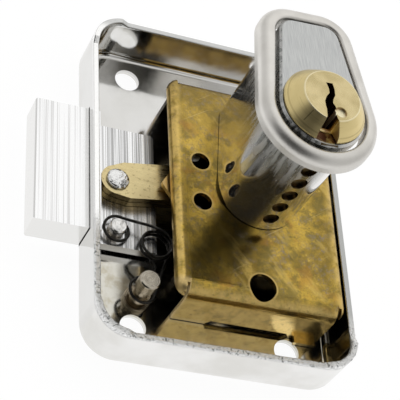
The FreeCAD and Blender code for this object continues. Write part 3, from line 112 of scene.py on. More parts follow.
# Colours, as shares of red, green and blue.
PAINTS = {
    # The case, its floor and its cut rim.
    "chrome": (0.84, 0.83, 0.8),
    "bright chrome": (0.84, 0.835, 0.82),
    "dim chrome": (0.73, 0.72, 0.69),
    "grey chrome": (0.58, 0.575, 0.56),
    "soft chrome": (0.72, 0.715, 0.7),
    "dulled chrome": (0.64, 0.625, 0.56),
    "grimy chrome": (0.5, 0.46, 0.36),
    "post shade": (0.11, 0.08, 0.04),
    "clean cut": (0.98, 0.98, 0.97),
    "shaded cut": (0.38, 0.385, 0.375),
    "chipped cut": (0.36, 0.37, 0.36),
    # The bolt.
    "nickel": (0.8, 0.8, 0.8),
    "shaded nickel side": (0.83, 0.825, 0.81),
    "lit nickel top": (0.96, 0.965, 0.97),
    "mill line": (0.72, 0.72, 0.72),
    "dark mill line": (0.42, 0.42, 0.42),
    # The link.
    "link brass": (0.7, 0.6, 0.38),
    "pale link brass": (0.72, 0.6, 0.32),
    "deep link brass": (0.6, 0.49, 0.26),
    "brown speck": (0.22, 0.16, 0.07),
    "brown edge and shade": (0.3, 0.22, 0.09),
    # The cover.
    "cover brass": (0.6, 0.42, 0.14),
    "yellow brass": (0.62, 0.42, 0.075),
    "tarnished brass": (0.27, 0.185, 0.04),
    "olive bloom": (0.16, 0.13, 0.045),
    "purple-grey bloom": (0.27, 0.23, 0.19),
    "brown grain": (0.25, 0.18, 0.06),
    "bright brass": (0.7, 0.49, 0.12),
    "rubbed streak": (0.62, 0.45, 0.13),
    "shaded brass": (0.33, 0.23, 0.07),
    "reddish bloom": (0.46, 0.22, 0.05),
    "scratched brass": (0.75, 0.6, 0.3),
    "rubbed bend highlight": (0.8, 0.57, 0.19),
    "lit low wall": (0.8, 0.6, 0.24),
    "dark pit": (0.24, 0.14, 0.04),
    "hole edge": (0.7, 0.5, 0.18),
    "edge highlight": (0.8, 0.6, 0.28),
    "brown wall": (0.36, 0.24, 0.07),
    "dark brown wall": (0.19, 0.12, 0.035),
    "shaded wall foot": (0.03, 0.022, 0.012),
    "lit wall foot": (0.75, 0.6, 0.32),
    "foot shadow": (0.03, 0.02, 0.01),
    "shaded inside": (0.2, 0.17, 0.11),
    # The barrel and its key face.
    "barrel chrome": (0.78, 0.77, 0.74),
    "polished side": (0.8, 0.785, 0.76),
    "light satin": (0.6, 0.61, 0.6),
    "dark satin": (0.48, 0.49, 0.49),
    "dark rust": (0.1, 0.045, 0.025),
    "brassy rust": (0.42, 0.31, 0.14),
    "dark scuff reflection": (0.3, 0.31, 0.3),
    "light scuff reflection": (0.56, 0.56, 0.55),
    "chamber brown": (0.1, 0.07, 0.035),
    "seam shadow": (0.015, 0.012, 0.008),
    "chamber brass": (0.25, 0.18, 0.08),
    "old brass": (0.3, 0.22, 0.1),
    "blackened brass": (0.07, 0.05, 0.025),
    # The plug.
    "plug brass": (0.74, 0.6, 0.34),
    "satin brass": (0.7, 0.585, 0.32),
    "dim satin brass": (0.56, 0.46, 0.235),
    "lit bevel brass": (0.86, 0.7, 0.33),
    "ring tarnish": (0.38, 0.3, 0.13),
    "caught light": (1.0, 0.92, 0.66),
    "scribed line": (0.2, 0.15, 0.07),
    "keyway rust": (0.36, 0.18, 0.11),
    "dark keyway rust": (0.2, 0.095, 0.06),
    "brassy mouth": (0.6, 0.44, 0.18),
    # The rosette.
    "rosette nickel": (0.62, 0.6, 0.57),
    "light nickel": (0.78, 0.76, 0.72),
    "dim nickel": (0.69, 0.67, 0.63),
    "shaded nickel": (0.56, 0.545, 0.51),
    # Steel and wire.
    "rivet steel": (0.85, 0.85, 0.84),
    "pin steel": (0.82, 0.81, 0.79),
    "post steel": (0.62, 0.58, 0.5),
    "reflected brown": (0.34, 0.27, 0.17),
    "shaded inner steel": (0.17, 0.165, 0.15),
    "dark shaded inner steel": (0.09, 0.085, 0.08),
    "guard steel": (0.36, 0.33, 0.28),
    "dark guard steel": (0.17, 0.15, 0.12),
    "wire black": (0.03, 0.03, 0.03),
    "oiled black": (0.035, 0.033, 0.03),
    "rubbed black": (0.16, 0.15, 0.14),
    # The studio.
    "sky": (1.0, 0.995, 0.985),
    "white": (1.0, 1.0, 1.0),
    "floor paint": (0.86, 0.86, 0.86),
}

# How far up or down a face looks before it counts as level, from 0 to 1.
LEVEL_FACE = (0.6, 0.85)

RANGE_SOCKETS = ("From Min", "From Max", "To Min", "To Max")

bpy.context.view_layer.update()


def paint(name):
    """A colour of the table, opaque."""
    return (*PAINTS[name], 1.0)


class Finish:
    """A procedural material. Its nodes read the piece's own coordinates, turned into millimetres.

    The colour and roughness that it starts with stand in until surface() links the nodes' own.
    """

    def __init__(self, name, base, metallic, roughness):
        self.material = bpy.data.materials.new(name)
        self.material.use_nodes = True
        self.tree = self.material.node_tree
        self.shader = self.tree.nodes["Principled BSDF"]
        self.shader.inputs["Metallic"].default_value = metallic
        self.surface(base, roughness)
        coordinates = self.node("ShaderNodeTexCoord")
        scale = self.node("ShaderNodeVectorMath", operation="SCALE")
        self.feed(scale.inputs[0], coordinates.outputs["Object"])
        scale.inputs["Scale"].default_value = MILLIMETRES_IN_METRE
        self.place = scale.outputs[0]
        self.x, self.y, self.z = self.parts_of(self.place)

    def node(self, kind, **settings):
        made = self.tree.nodes.new(kind)
        for name, value in settings.items():
            setattr(made, name, value)
        return made

    def feed(self, socket, value):
        """Link a socket, or set it to a plain value. None leaves it as it is."""
        if isinstance(value, bpy.types.NodeSocket):
            self.tree.links.new(value, socket)
        elif value is not None:
            socket.default_value = value

    def surface(self, base, roughness, normal=None):
        self.feed(self.shader.inputs["Base Color"], base)
        self.feed(self.shader.inputs["Roughness"], roughness)
        self.feed(self.shader.inputs["Normal"], normal)
        return self.material

    def reckon(self, operation, first, second=None):
        made = self.node("ShaderNodeMath", operation=operation)
        self.feed(made.inputs[0], first)
        self.feed(made.inputs[1], second)
        return made.outputs[0]

    def plus(self, first, second):
        return self.reckon("ADD", first, second)

    def minus(self, first, second):
        return self.reckon("SUBTRACT", first, second)

    def times(self, first, second):
        return self.reckon("MULTIPLY", first, second)

    def smaller(self, first, second):
        return self.reckon("MINIMUM", first, second)

    def larger(self, first, second):
        return self.reckon("MAXIMUM", first, second)

    def without_sign(self, value):
        return self.reckon("ABSOLUTE", value)

    def length_of(self, first, second):
        """The length of a run whose two legs stand at a right angle."""
        squares = self.plus(self.times(first, first), self.times(second, second))
        return self.reckon("SQRT", squares)

    def away(self, x, y, centre):
        """The distance of a place in the XY plane from a centre."""
        return self.length_of(self.minus(x, centre[0]), self.minus(y, centre[1]))

    def parts_of(self, place):
        """The X, Y and Z of a place."""
        parts = self.node("ShaderNodeSeparateXYZ")
        self.feed(parts.inputs[0], place)
        return parts.outputs

    def turned(self, centre, angle):
        """The place seen from a centre and turned about Z."""
        made = self.node("ShaderNodeMapping", vector_type="TEXTURE")
        self.feed(made.inputs["Vector"], self.place)
        made.inputs["Location"].default_value = (centre[0], centre[1], 0.0)
        made.inputs["Rotation"].default_value = (0.0, 0.0, angle)
        return made.outputs[0]

    def squeezed(self, x, y, z, place=None):
        """A place with each axis multiplied, so that grain runs long where the factor is small."""
        made = self.node("ShaderNodeVectorMath", operation="MULTIPLY")
        self.feed(made.inputs[0], self.place if place is None else place)
        made.inputs[1].default_value = (x, y, z)
        return made.outputs[0]

    def slanted(self, angle, along, over):
        """The place turned about Z and then multiplied, for scratches that run at an angle."""
        return self.squeezed(along, over, 1.0, self.turned((0.0, 0.0), angle))

    def noise(self, scale, detail=3.0, roughness=0.5, where=None, distortion=0.0):
        made = self.node("ShaderNodeTexNoise")
        self.feed(made.inputs["Vector"], self.place if where is None else where)
        made.inputs["Scale"].default_value = scale
        made.inputs["Detail"].default_value = detail
        made.inputs["Roughness"].default_value = roughness
        made.inputs["Distortion"].default_value = distortion
        return made.outputs["Fac"]

    def lathe_rings(self, run, scale):
        """Noise that changes along one run only, such as a radius."""
        made = self.node("ShaderNodeTexNoise", noise_dimensions="1D")
        self.feed(made.inputs["W"], run)
        made.inputs["Scale"].default_value = scale
        made.inputs["Detail"].default_value = 3.0
        return made.outputs["Fac"]

    def step(self, value, low, high, start=0.0, stop=1.0):
        """A smooth change from start to stop while the value goes from low to high."""
        made = self.node("ShaderNodeMapRange", interpolation_type="SMOOTHSTEP")
        self.feed(made.inputs["Value"], value)
        for name, number in zip(RANGE_SOCKETS, (low, high, start, stop)):
            made.inputs[name].default_value = number
        return made.outputs["Result"]

    def blend(self, share, first, second):
        """A colour between two colours."""
        made = self.node("ShaderNodeMix", data_type="RGBA")
        self.feed(made.inputs["Factor"], share)
        self.feed(made.inputs[6], first)
        self.feed(made.inputs[7], second)
        return made.outputs[2]

    def two_tone(self, pattern, low, high, first, second):
        """The first named colour up to low on the pattern, and the second from high on."""
        return self.blend(self.step(pattern, low, high), paint(first), paint(second))

    def tint(self, base, coat, share, most):
        """The base under a coat that covers it by the share, and nowhere by more than most."""
        return self.blend(self.times(share, most), base, coat)

    def between(self, share, first, second):
        """A number between two numbers."""
        made = self.node("ShaderNodeMix", data_type="FLOAT")
        self.feed(made.inputs[0], share)
        self.feed(made.inputs[2], first)
        self.feed(made.inputs[3], second)
        return made.outputs[0]

    def bump(self, height, depth, strength=1.0, under=None):
        """Relief of a height from 0 to 1, with its full depth in millimetres."""
        made = self.node("ShaderNodeBump")
        made.inputs["Strength"].default_value = strength
        made.inputs["Distance"].default_value = depth / MILLIMETRES_IN_METRE
        self.feed(made.inputs["Height"], height)
        self.feed(made.inputs["Normal"], under)
        return made.outputs["Normal"]

    def level_face(self):
        """1 where the face looks up or down, 0 where it stands upright."""
        facing = self.node("ShaderNodeNewGeometry")
        upward = self.parts_of(facing.outputs["True Normal"])[2]
        return self.step(self.without_sign(upward), *LEVEL_FACE)


# Bands of the case in which one look gives way to another, in millimetres: where the change
# starts and where it is complete.
CASE_BACK_Z = (0.4, 0.8)
UPPER_FLOOR_Y = (4.0, 12.0)
LOW_FLOOR_Y = (-12.0, -17.0)
POST_SHADE_REACH = (4.9, 3.2)
LOW_RIM_Y = (-20.0, -32.0)
LEFT_RIM_Y, LEFT_RIM_X = (-9.0, -19.0), (0.0, -15.0)
RIGHT_RIM_Y, RIGHT_RIM_X = (-28.0, -23.0), (20.5, 22.5)
UPPER_RIM_Y = (31.0, 33.0)


def case_chrome():
    """Mirror-bright chrome on pressed steel: grime in the low corner, painted shade round the post, a
    cut rim with dark chips and painted shade.
    """
    finish = Finish("case_chrome", paint("chrome"), 1.0, 0.08)
    cloud = finish.noise(0.09, 4.0, 0.55)
    base = finish.two_tone(cloud, 0.35, 0.7, "bright chrome", "dim chrome")

    # The floor inside: greyer at the upper end, dulled in the low corner, with painted shade and
    # reflection round the post's foot.
    at_floor = finish.step(finish.z, CASE_FLOOR + 0.5, CASE_FLOOR + 0.2)
    floor = finish.times(at_floor, finish.step(finish.z, *CASE_BACK_Z))
    upper_floor = finish.times(floor, finish.step(finish.y, *UPPER_FLOOR_Y, 0.0, 0.55))
    base = finish.blend(upper_floor, base, paint("grey chrome"))
    left_side = finish.step(finish.x, CASE_LEFT + 0.45, CASE_LEFT + 0.15, 0.0, 0.6)
    base = finish.blend(left_side, base, paint("soft chrome"))
    low_floor = finish.times(floor, finish.step(finish.y, *LOW_FLOOR_Y))
    grime = finish.noise(0.42, 5.0, 0.65)
    dulled = finish.two_tone(grime, 0.42, 0.66, "dulled chrome", "grimy chrome")
    base = finish.tint(base, dulled, low_floor, 0.92)
    # Painted shade and reflection on the floor round the post's foot.
    ragged_run = finish.plus(finish.away(finish.x, finish.y, POST), finish.times(grime, 3.0))
    ring = finish.times(floor, finish.step(ragged_run, *POST_SHADE_REACH))
    base = finish.tint(base, paint("post shade"), ring, 0.7)

    # The cut rim: bright, greyed by painted shade on the right and at the upper end, chipped below and
    # on the left.
    rim = finish.step(finish.z, CASE_RIM - 0.5, CASE_RIM - 0.1)
    low_rim = finish.step(finish.y, *LOW_RIM_Y)
    left_rim = finish.times(finish.step(finish.y, *LEFT_RIM_Y), finish.step(finish.x, *LEFT_RIM_X))
    rough_share = finish.step(finish.larger(low_rim, left_rim), 0.0, 1.0, 0.08, 1.0)
    chips = finish.step(finish.noise(2.0, 4.0, 0.72), 0.54, 0.6)
    right_rim = finish.times(finish.step(finish.x, *RIGHT_RIM_X, 0.0, 0.85),
                             finish.step(finish.y, *RIGHT_RIM_Y))
    # Painted shade on the right and upper rim.
    grey = finish.larger(right_rim, finish.step(finish.y, *UPPER_RIM_Y, 0.0, 0.6))
    clean = finish.blend(grey, paint("clean cut"), paint("shaded cut"))
    cut = finish.blend(finish.times(chips, rough_share), clean, paint("chipped cut"))
    base = finish.blend(rim, base, cut)

    inside = finish.step(finish.noise(0.6, 4.0, 0.6), 0.3, 0.8, 0.09, 0.17)
    roughness = finish.between(rim, inside, 0.12)
    relief = finish.bump(finish.noise(0.16, 2.0, 0.4), 0.12, 0.5)
    rough_rim = finish.times(finish.times(finish.noise(2.6, 5.0, 0.7), rim), rough_share)
    relief = finish.bump(rough_rim, 0.5, 1.0, relief)
    return finish.surface(base, roughness, relief)


def bolt_nickel():
    """Bright nickel with straight mill lines along Y, fine and coarse, darker on the tail, with painted
    shade on its upright sides.
    """
    finish = Finish("bolt_nickel", paint("nickel"), 1.0, 0.2)
    fine = finish.noise(1.0, 3.0, 0.6, finish.squeezed(5.2, 0.012, 0.3))
    coarse = finish.noise(1.0, 2.0, 0.5, finish.squeezed(1.7, 0.006, 0.2))
    lines = finish.plus(finish.times(fine, 0.6), finish.times(coarse, 0.4))
    tail = finish.step(finish.x, CASE_LEFT + 0.35, CASE_LEFT + 7.35)
    lines = finish.minus(lines, finish.times(tail, 0.05))
    # Painted shade: the upright sides get a darker nickel than the top.
    top = finish.level_face()
    plain = finish.blend(top, paint("shaded nickel side"), paint("lit nickel top"))
    line_paint = finish.blend(tail, paint("mill line"), paint("dark mill line"))
    base = finish.blend(finish.times(finish.step(lines, 0.5, 0.41), top), plain, line_paint)
    roughness = finish.between(top, 0.16, 0.26)
    relief = finish.bump(finish.times(lines, top), 0.05, 0.6)
    return finish.surface(base, roughness, relief)


def link_brass():
    """Pale satin brass, with faint rolling grain, small brown specks and upright edges darkened by
    painted brown shade.
    """
    finish = Finish("link_brass", paint("link brass"), 1.0, 0.3)
    cloud = finish.noise(0.22, 3.0, 0.5)
    base = finish.two_tone(cloud, 0.35, 0.7, "pale link brass", "deep link brass")
    specks = finish.step(finish.noise(1.4, 4.0, 0.6), 0.58, 0.66)
    base = finish.tint(base, paint("brown speck"), specks, 0.55)
    # Painted shade: the upright edges are brown.
    base = finish.blend(finish.level_face(), paint("brown edge and shade"), base)
    grain = finish.noise(1.0, 3.0, 0.6, finish.squeezed(0.15, 3.5, 1.0))
    roughness = finish.step(grain, 0.2, 0.8, 0.24, 0.36)
    return finish.surface(base, roughness, finish.bump(grain, 0.02, 0.4))


# Bands of the cover, as for the case.
UPPER_END_Y = (4.0, 15.0)
WALL_EDGE_X, WALL_EDGE_Y = (-7.5, -7.75), (-21.2, -22.4)
LIP_EDGE_Z, LIP_EDGE_X = (9.6, 9.45), (-9.7, -9.9)
UPPER_WALL_Z, UPPER_WALL_Y = (10.8, 10.3), (21.0, 21.6)
UPPER_WALL_FOOT_Z = (4.6, 3.4)
LOW_HALF_Y = (0.0, -1.0)
INNER_SIDE_DEPTH = (0.75, 0.95)


def stained_brass(finish, mottle, fine):
    """Yellow brass under olive, purple-grey and reddish bloom, with rubbed streaks and scratches."""
    cloud = finish.noise(0.085, 5.0, 0.6, distortion=0.6)
    patch = finish.noise(0.16, 4.0, 0.6, distortion=1.2)
    base = finish.two_tone(cloud, 0.38, 0.62, "yellow brass", "tarnished brass")
    base = finish.tint(base, paint("olive bloom"), finish.step(mottle, 0.48, 0.6), 0.68)
    bloom = finish.times(finish.step(fine, 0.47, 0.66), finish.step(patch, 0.44, 0.58))
    base = finish.tint(base, paint("purple-grey bloom"), bloom, 0.75)
    grain = finish.step(finish.noise(3.0, 3.0, 0.7), 0.5, 0.64, 0.0, 0.45)
    base = finish.blend(grain, base, paint("brown grain"))
    bright = finish.times(finish.step(mottle, 0.48, 0.32), finish.step(fine, 0.56, 0.4, 0.2, 0.9))
    base = finish.blend(bright, base, paint("bright brass"))
    streaks = finish.noise(1.0, 3.0, 0.6, finish.slanted(-0.9, 0.07, 0.3))
    base = finish.blend(finish.step(streaks, 0.56, 0.68, 0.0, 0.55), base, paint("rubbed streak"))
    upper_end = finish.step(finish.y, *UPPER_END_Y, 0.0, 0.3)
    base = finish.blend(upper_end, base, paint("shaded brass"))
    reddish = finish.noise(0.14, 4.0, 0.6, finish.squeezed(1.0, 1.0, 3.0))
    base = finish.blend(finish.step(reddish, 0.54, 0.68, 0.0, 0.4), base, paint("reddish bloom"))
    scratches = finish.noise(1.0, 2.0, 0.5, finish.slanted(0.6, 0.06, 5.0))
    return finish.blend(finish.step(scratches, 0.7, 0.74, 0.0, 0.5), base, paint("scratched brass"))


def under_bend(finish, inset, radius):
    """Depth below the outside of bent sheet: the bend's radius less the way to its middle line.

    Both runs to the middle line count only on the bend's own side of it.
    """
    level = finish.larger(finish.minus(finish.z, COVER_TOP - radius), 0.0)
    across = finish.larger(finish.minus(radius, inset), 0.0)
    return finish.minus(radius, finish.length_of(level, across))


def cover_brass():
    """Passivated yellow brass: bends rubbed bright with painted highlights, bright hole edges, painted
    shade on the browned upper wall and inside.
    """
    finish = Finish("cover_brass", paint("cover brass"), 1.0, 0.3)
    mottle = finish.noise(0.3, 8.0, 0.72)
    fine = finish.noise(1.3, 6.0, 0.75)
    base = stained_brass(finish, mottle, fine)

    # Runs inward from the sides, from the ends and from whichever edge is nearest.
    from_left = finish.minus(finish.x, COVER_SIDES[0])
    from_right = finish.minus(COVER_SIDES[1], finish.x)
    from_low = finish.minus(finish.y, COVER_ENDS[0])
    from_high = finish.minus(COVER_ENDS[1], finish.y)
    beside = finish.smaller(from_left, from_right)
    before = finish.smaller(from_low, from_high)
    inset = finish.smaller(beside, before)

    # The bends are rubbed, and brightened further by a painted highlight.
    rub = finish.step(finish.noise(0.5, 4.0, 0.6), 0.3, 0.6)
    bend = finish.times(finish.step(inset, 2.4, 0.6), rub)
    base = finish.tint(base, paint("rubbed bend highlight"), bend, 0.85)
    # Painted light on the low end wall.
    low_wall_light = finish.step(from_low, 2.0, 0.3)
    base = finish.tint(base, paint("lit low wall"), low_wall_light, 0.45)
    pits = finish.times(finish.step(fine, 0.56, 0.68), finish.step(inset, 2.4, 1.2))
    base = finish.tint(base, paint("dark pit"), pits, 0.7)
    for centre, radius in COVER_HOLES:
        around = finish.step(finish.away(finish.x, finish.y, centre), radius + 0.5, radius + 0.15)
        base = finish.tint(base, paint("hole edge"), around, 0.6)

    # Painted highlights on cut edges that catch the light: the low wall's left end and the foot of the
    # left lip.
    wall_edge = finish.times(finish.step(finish.x, *WALL_EDGE_X), finish.step(finish.y, *WALL_EDGE_Y))
    lip_edge = finish.times(finish.step(finish.z, *LIP_EDGE_Z), finish.step(finish.x, *LIP_EDGE_X))
    base = finish.tint(base, paint("edge highlight"), finish.larger(wall_edge, lip_edge), 0.7)

    # The upper wall: brown and darkened by painted shade, and nearly black with painted shade at its
    # foot.
    upper_wall = finish.times(finish.step(finish.z, *UPPER_WALL_Z),
                              finish.step(finish.y, *UPPER_WALL_Y))
    brown = finish.two_tone(mottle, 0.4, 0.6, "brown wall", "dark brown wall")
    brown = finish.blend(finish.step(finish.z, *UPPER_WALL_FOOT_Z), brown, paint("shaded wall foot"))
    base = finish.tint(base, brown, upper_wall, 0.95)

    # The low wall's foot: pale with painted reflected light, and a black line of painted shadow where
    # it stands on the case.
    near_floor = finish.step(finish.z, CASE_FLOOR + 1.5, CASE_FLOOR + 0.5)
    foot = finish.times(near_floor, finish.step(finish.y, *LOW_HALF_Y))
    base = finish.tint(base, paint("lit wall foot"), foot, 0.5)
    on_floor = finish.step(finish.z, CASE_FLOOR + 0.3, CASE_FLOOR + 0.1)
    base = finish.blend(on_floor, base, paint("foot shadow"))

    # Painted shade on the inside of the cover.
    depth = finish.smaller(under_bend(finish, beside, SIDE_BEND), under_bend(finish, before, END_BEND))
    base = finish.blend(finish.step(depth, *INNER_SIDE_DEPTH), base, paint("shaded inside"))

    flat = finish.step(mottle, 0.25, 0.75, 0.15, 0.27)
    roughness = finish.between(finish.step(inset, 3.2, 2.0), flat, 0.3)
    roughness = finish.between(finish.step(from_low, 0.6, 0.2), roughness, 0.2)
    relief = finish.bump(finish.noise(0.3, 3.0, 0.5), 0.12, 0.5)
    relief = finish.bump(fine, 0.02, 0.5, relief)
    inner_start = finish.step(before, END_BEND + 0.3, END_BEND - 0.6)
    on_end_bend = finish.times(inner_start, finish.step(before, 0.2, 0.8))
    sparkle = finish.times(finish.noise(2.4, 4.0, 0.7), on_end_bend)
    relief = finish.bump(sparkle, 0.12, 1.0, relief)
    return finish.surface(base, roughness, relief)


# Bands of the barrel, as for the case, across and along its pear shape from the cylinder's axis.
RUST_RING = (HEAD_FOOT_RADIUS + 0.4, HEAD_FOOT_RADIUS + 0.2)
SCUFFS_Z, SCUFFS_ACROSS = (20.0, 36.0), (4.5, 1.5)
CHAMBERS_ACROSS = (1.7, 1.6)
CHAMBERS_OUTER_END, CHAMBERS_INNER_END = (-8.1, -7.9), (0.0, -1.0)
SEAM_MIDDLE = -1.5
SEAM_SWELL, SEAM_ACROSS = (5.5, 1.0), (-6.5, -8.0)
SEAM_TOP = (0.24, 0.14)


def barrel_chrome():
    """Polished chrome: scuffs with a painted dark reflection near the key face, brown chambers, a
    painted black shadow along the seam at the cover.

    The key face has straight satin grain, with rust round the plug's head.
    """
    finish = Finish("barrel_chrome", paint("barrel chrome"), 0.965, 0.05)
    local = finish.turned(AXIS, CYLINDER_TURN)
    across, along, _ = finish.parts_of(local)

    grain = finish.noise(1.0, 4.0, 0.6, finish.squeezed(7.0, 0.25, 0.0, local))
    face = finish.step(finish.z, KEY_FACE - 0.06, KEY_FACE - 0.02)
    ground = finish.two_tone(grain, 0.35, 0.65, "light satin", "dark satin")
    rust = finish.two_tone(finish.noise(0.9, 3.0, 0.6), 0.45, 0.6, "dark rust", "brassy rust")
    round_head = finish.step(finish.length_of(across, along), *RUST_RING)
    ground = finish.blend(round_head, ground, rust)

    # Scuffs near the key face on one side, darkened by a painted dark reflection.
    ragged_height = finish.plus(finish.z, finish.times(finish.noise(0.25, 3.0, 0.6), 5.0))
    scuffs_and_dark_reflection = finish.times(finish.step(ragged_height, *SCUFFS_Z), finish.step(across, *SCUFFS_ACROSS))
    streaks = finish.step(finish.noise(1.0, 4.0, 0.6, finish.squeezed(1.1, 1.1, 0.13)), 0.4, 0.6)
    worn = finish.blend(streaks, paint("dark scuff reflection"), paint("light scuff reflection"))
    side = finish.blend(scuffs_and_dark_reflection, paint("polished side"), worn)

    in_row = finish.step(finish.without_sign(across), *CHAMBERS_ACROSS)
    inside = finish.times(finish.step(along, *CHAMBERS_OUTER_END),
                          finish.step(along, *CHAMBERS_INNER_END))
    side = finish.blend(finish.times(in_row, inside), side, paint("chamber brown"))

    # Painted black shadow along the seam where the barrel stands on the cover, higher on its left side.
    from_middle = finish.without_sign(finish.minus(along, SEAM_MIDDLE))
    swell = finish.step(from_middle, *SEAM_SWELL, 0.0, 0.55)
    seam_shadow_height = finish.times(swell, finish.step(across, *SEAM_ACROSS))
    over_seam_shadow = finish.minus(finish.minus(finish.z, COVER_TOP), seam_shadow_height)
    side = finish.blend(finish.step(over_seam_shadow, *SEAM_TOP), side, paint("seam shadow"))
    base = finish.blend(face, side, ground)

    polish = finish.step(finish.noise(0.5, 4.0, 0.6), 0.3, 0.8, 0.03, 0.07)
    polish = finish.between(scuffs_and_dark_reflection, polish, finish.step(streaks, 0.0, 1.0, 0.24, 0.46))
    roughness = finish.between(face, polish, 0.3)
    relief = finish.bump(finish.times(grain, face), 0.03, 0.7)
    return finish.surface(base, roughness, relief)


def chamber_brass():
    """Old brown brass of the plugs that close the pin chambers."""
    finish = Finish("chamber_brass", paint("chamber brass"), 1.0, 0.35)
    cloud = finish.noise(0.9, 4.0, 0.6)
    base = finish.two_tone(cloud, 0.4, 0.65, "old brass", "blackened brass")
    return finish.surface(base, finish.step(cloud, 0.2, 0.8, 0.25, 0.45), finish.bump(cloud, 0.05, 0.5))


# Bands of the plug's head, as for the case.
BRIGHT_CORNER = (0.16, 0.06)
FOOT_LINE = (0.12, 0.06)
SCRIBED_HALF_WIDTH, SCRIBED_HALF_LENGTH = (0.13, 0.08), (0.8, 0.7)
BELOW_HEAD_Z = (HEAD_TOP - 0.12, HEAD_TOP - 0.2)
MOUTH_ALONG = (-4.0, -5.0)


def plug_brass():
    """Satin pale brass with fine rings from the lathe, a scribed line and a painted highlight on its
    head's corner.

    The keyway is rusty brown, with a brassy mouth, and the pocket beside it has a painted highlight.
    """
    finish = Finish("plug_brass", paint("plug brass"), 1.0, 0.25)
    across, along, _ = finish.parts_of(finish.turned(AXIS, CYLINDER_TURN))
    radius = finish.length_of(across, along)
    rings = finish.lathe_rings(radius, 7.0)
    cloud = finish.noise(0.35, 3.0, 0.5)
    bevel = finish.step(radius, HEAD_FACE_RADIUS - 0.1, HEAD_FACE_RADIUS + 0.1)
    base = finish.two_tone(cloud, 0.3, 0.7, "satin brass", "dim satin brass")
    # Painted light on the bevel.
    base = finish.tint(base, paint("lit bevel brass"), bevel, 0.75)
    tarnish = finish.times(finish.step(rings, 0.55, 0.7), finish.step(cloud, 0.4, 0.6))
    base = finish.tint(base, paint("ring tarnish"), tarnish, 0.3)

    # Painted highlight on the corner of the head.
    from_corner = finish.without_sign(finish.minus(radius, HEAD_FACE_RADIUS))
    base = finish.tint(base, paint("caught light"), finish.step(from_corner, *BRIGHT_CORNER), 0.55)
    from_foot = finish.without_sign(finish.minus(radius, HEAD_FOOT_RADIUS))
    base = finish.tint(base, paint("brown edge and shade"), finish.step(from_foot, *FOOT_LINE), 0.3)
    outward, sideways, _ = finish.parts_of(finish.turned(AXIS, SCRIBED_ANGLE))
    from_middle = finish.without_sign(finish.minus(outward, SCRIBED_MIDDLE))
    scribed = finish.times(finish.step(finish.without_sign(sideways), *SCRIBED_HALF_WIDTH),
                           finish.step(from_middle, *SCRIBED_HALF_LENGTH))
    base = finish.tint(base, paint("scribed line"), scribed, 0.6)

    in_pocket = finish.step(finish.away(across, along, POCKET), POCKET_RADIUS + 0.08, POCKET_RADIUS)
    below_face = finish.times(finish.step(finish.z, *BELOW_HEAD_Z),
                              finish.step(radius, HEAD_FACE_RADIUS - 0.1, HEAD_FACE_RADIUS - 0.2))
    keyway = finish.times(below_face, finish.minus(1.0, in_pocket))
    rust = finish.two_tone(finish.noise(1.1, 3.0, 0.6), 0.45, 0.6, "keyway rust", "dark keyway rust")
    rust = finish.tint(rust, paint("brassy mouth"), finish.step(along, *MOUTH_ALONG), 0.75)
    base = finish.blend(keyway, base, rust)
    # Painted highlight in the pocket.
    pocket = finish.times(below_face, in_pocket)
    base = finish.blend(pocket, base, paint("caught light"))

    roughness = finish.step(rings, 0.25, 0.75, 0.24, 0.35)
    roughness = finish.between(bevel, roughness, 0.36)
    roughness = finish.between(pocket, roughness, 0.5)
    return finish.surface(base, roughness, finish.bump(rings, 0.012, 0.6))


# Band of the rosette, as for the case.
ROSETTE_LOW_END_Y = (-4.0, -11.0)


def rosette_nickel():
    """Satin nickel, fine and even, a little warm, darker at its lower end."""
    finish = Finish("rosette_nickel", paint("rosette nickel"), 1.0, 0.33)
    grain = finish.noise(2.8, 4.0, 0.6)
    cloud = finish.noise(0.2, 3.0, 0.5)
    base = finish.two_tone(cloud, 0.3, 0.7, "light nickel", "dim nickel")
    low_end = finish.step(finish.y, *ROSETTE_LOW_END_Y, 0.0, 0.4)
    base = finish.blend(low_end, base, paint("shaded nickel"))
    roughness = finish.step(grain, 0.25, 0.75, 0.33, 0.43)
    return finish.surface(base, roughness, finish.bump(grain, 0.02, 0.5))


# Turned steel: the height in which the painted brown reflection and shade comes in, in millimetres;
# rings gained by height as against radius; the light that worn spots keep; and the least and most share
# of the roughness.
BROWN_DEPTH = 1.5
RING_CLIMB = 1.3
WORN_SHARE = 0.72
SMOOTHEST, ROUGHEST = 0.7, 1.4


def turned_steel(name, centre, light, roughness, painted_brown_from, dents):
    """Bright turned steel: clouded, dented, ringed about its own axis, with painted brown reflection
    and shade the lower it is.
    """
    finish = Finish(name, paint(light), 1.0, roughness)
    worn = (*(part * WORN_SHARE for part in PAINTS[light]), 1.0)
    cloud = finish.noise(1.0, 3.0, 0.6)
    base = finish.blend(finish.step(cloud, 0.45, 0.75), paint(light), worn)
    # Painted brown reflection and shade towards the foot.
    brown = finish.step(finish.z, painted_brown_from, painted_brown_from - BROWN_DEPTH, 0.0, 0.75)
    base = finish.blend(brown, base, paint("reflected brown"))
    run = finish.plus(finish.away(finish.x, finish.y, centre), finish.times(finish.z, RING_CLIMB))
    rings = finish.lathe_rings(run, 6.0)
    rough = finish.step(rings, 0.2, 0.8, roughness * SMOOTHEST, roughness * ROUGHEST)
    hammered = finish.bump(finish.noise(0.75, 2.0, 0.5), dents, 0.8)
    return finish.surface(base, rough, finish.bump(rings, 0.03, 0.6, hammered))


def plain_steel(name, light, dark):
    """Plain steel of the inner pieces and the guard, slightly grey; the inner pieces' colours are dark
    with painted shade.
    """
    finish = Finish(name, paint(light), 1.0, 0.3)
    cloud = finish.noise(0.6, 4.0, 0.6)
    base = finish.two_tone(cloud, 0.35, 0.7, light, dark)
    return finish.surface(base, finish.step(cloud, 0.2, 0.8, 0.22, 0.4), finish.bump(cloud, 0.03, 0.4))


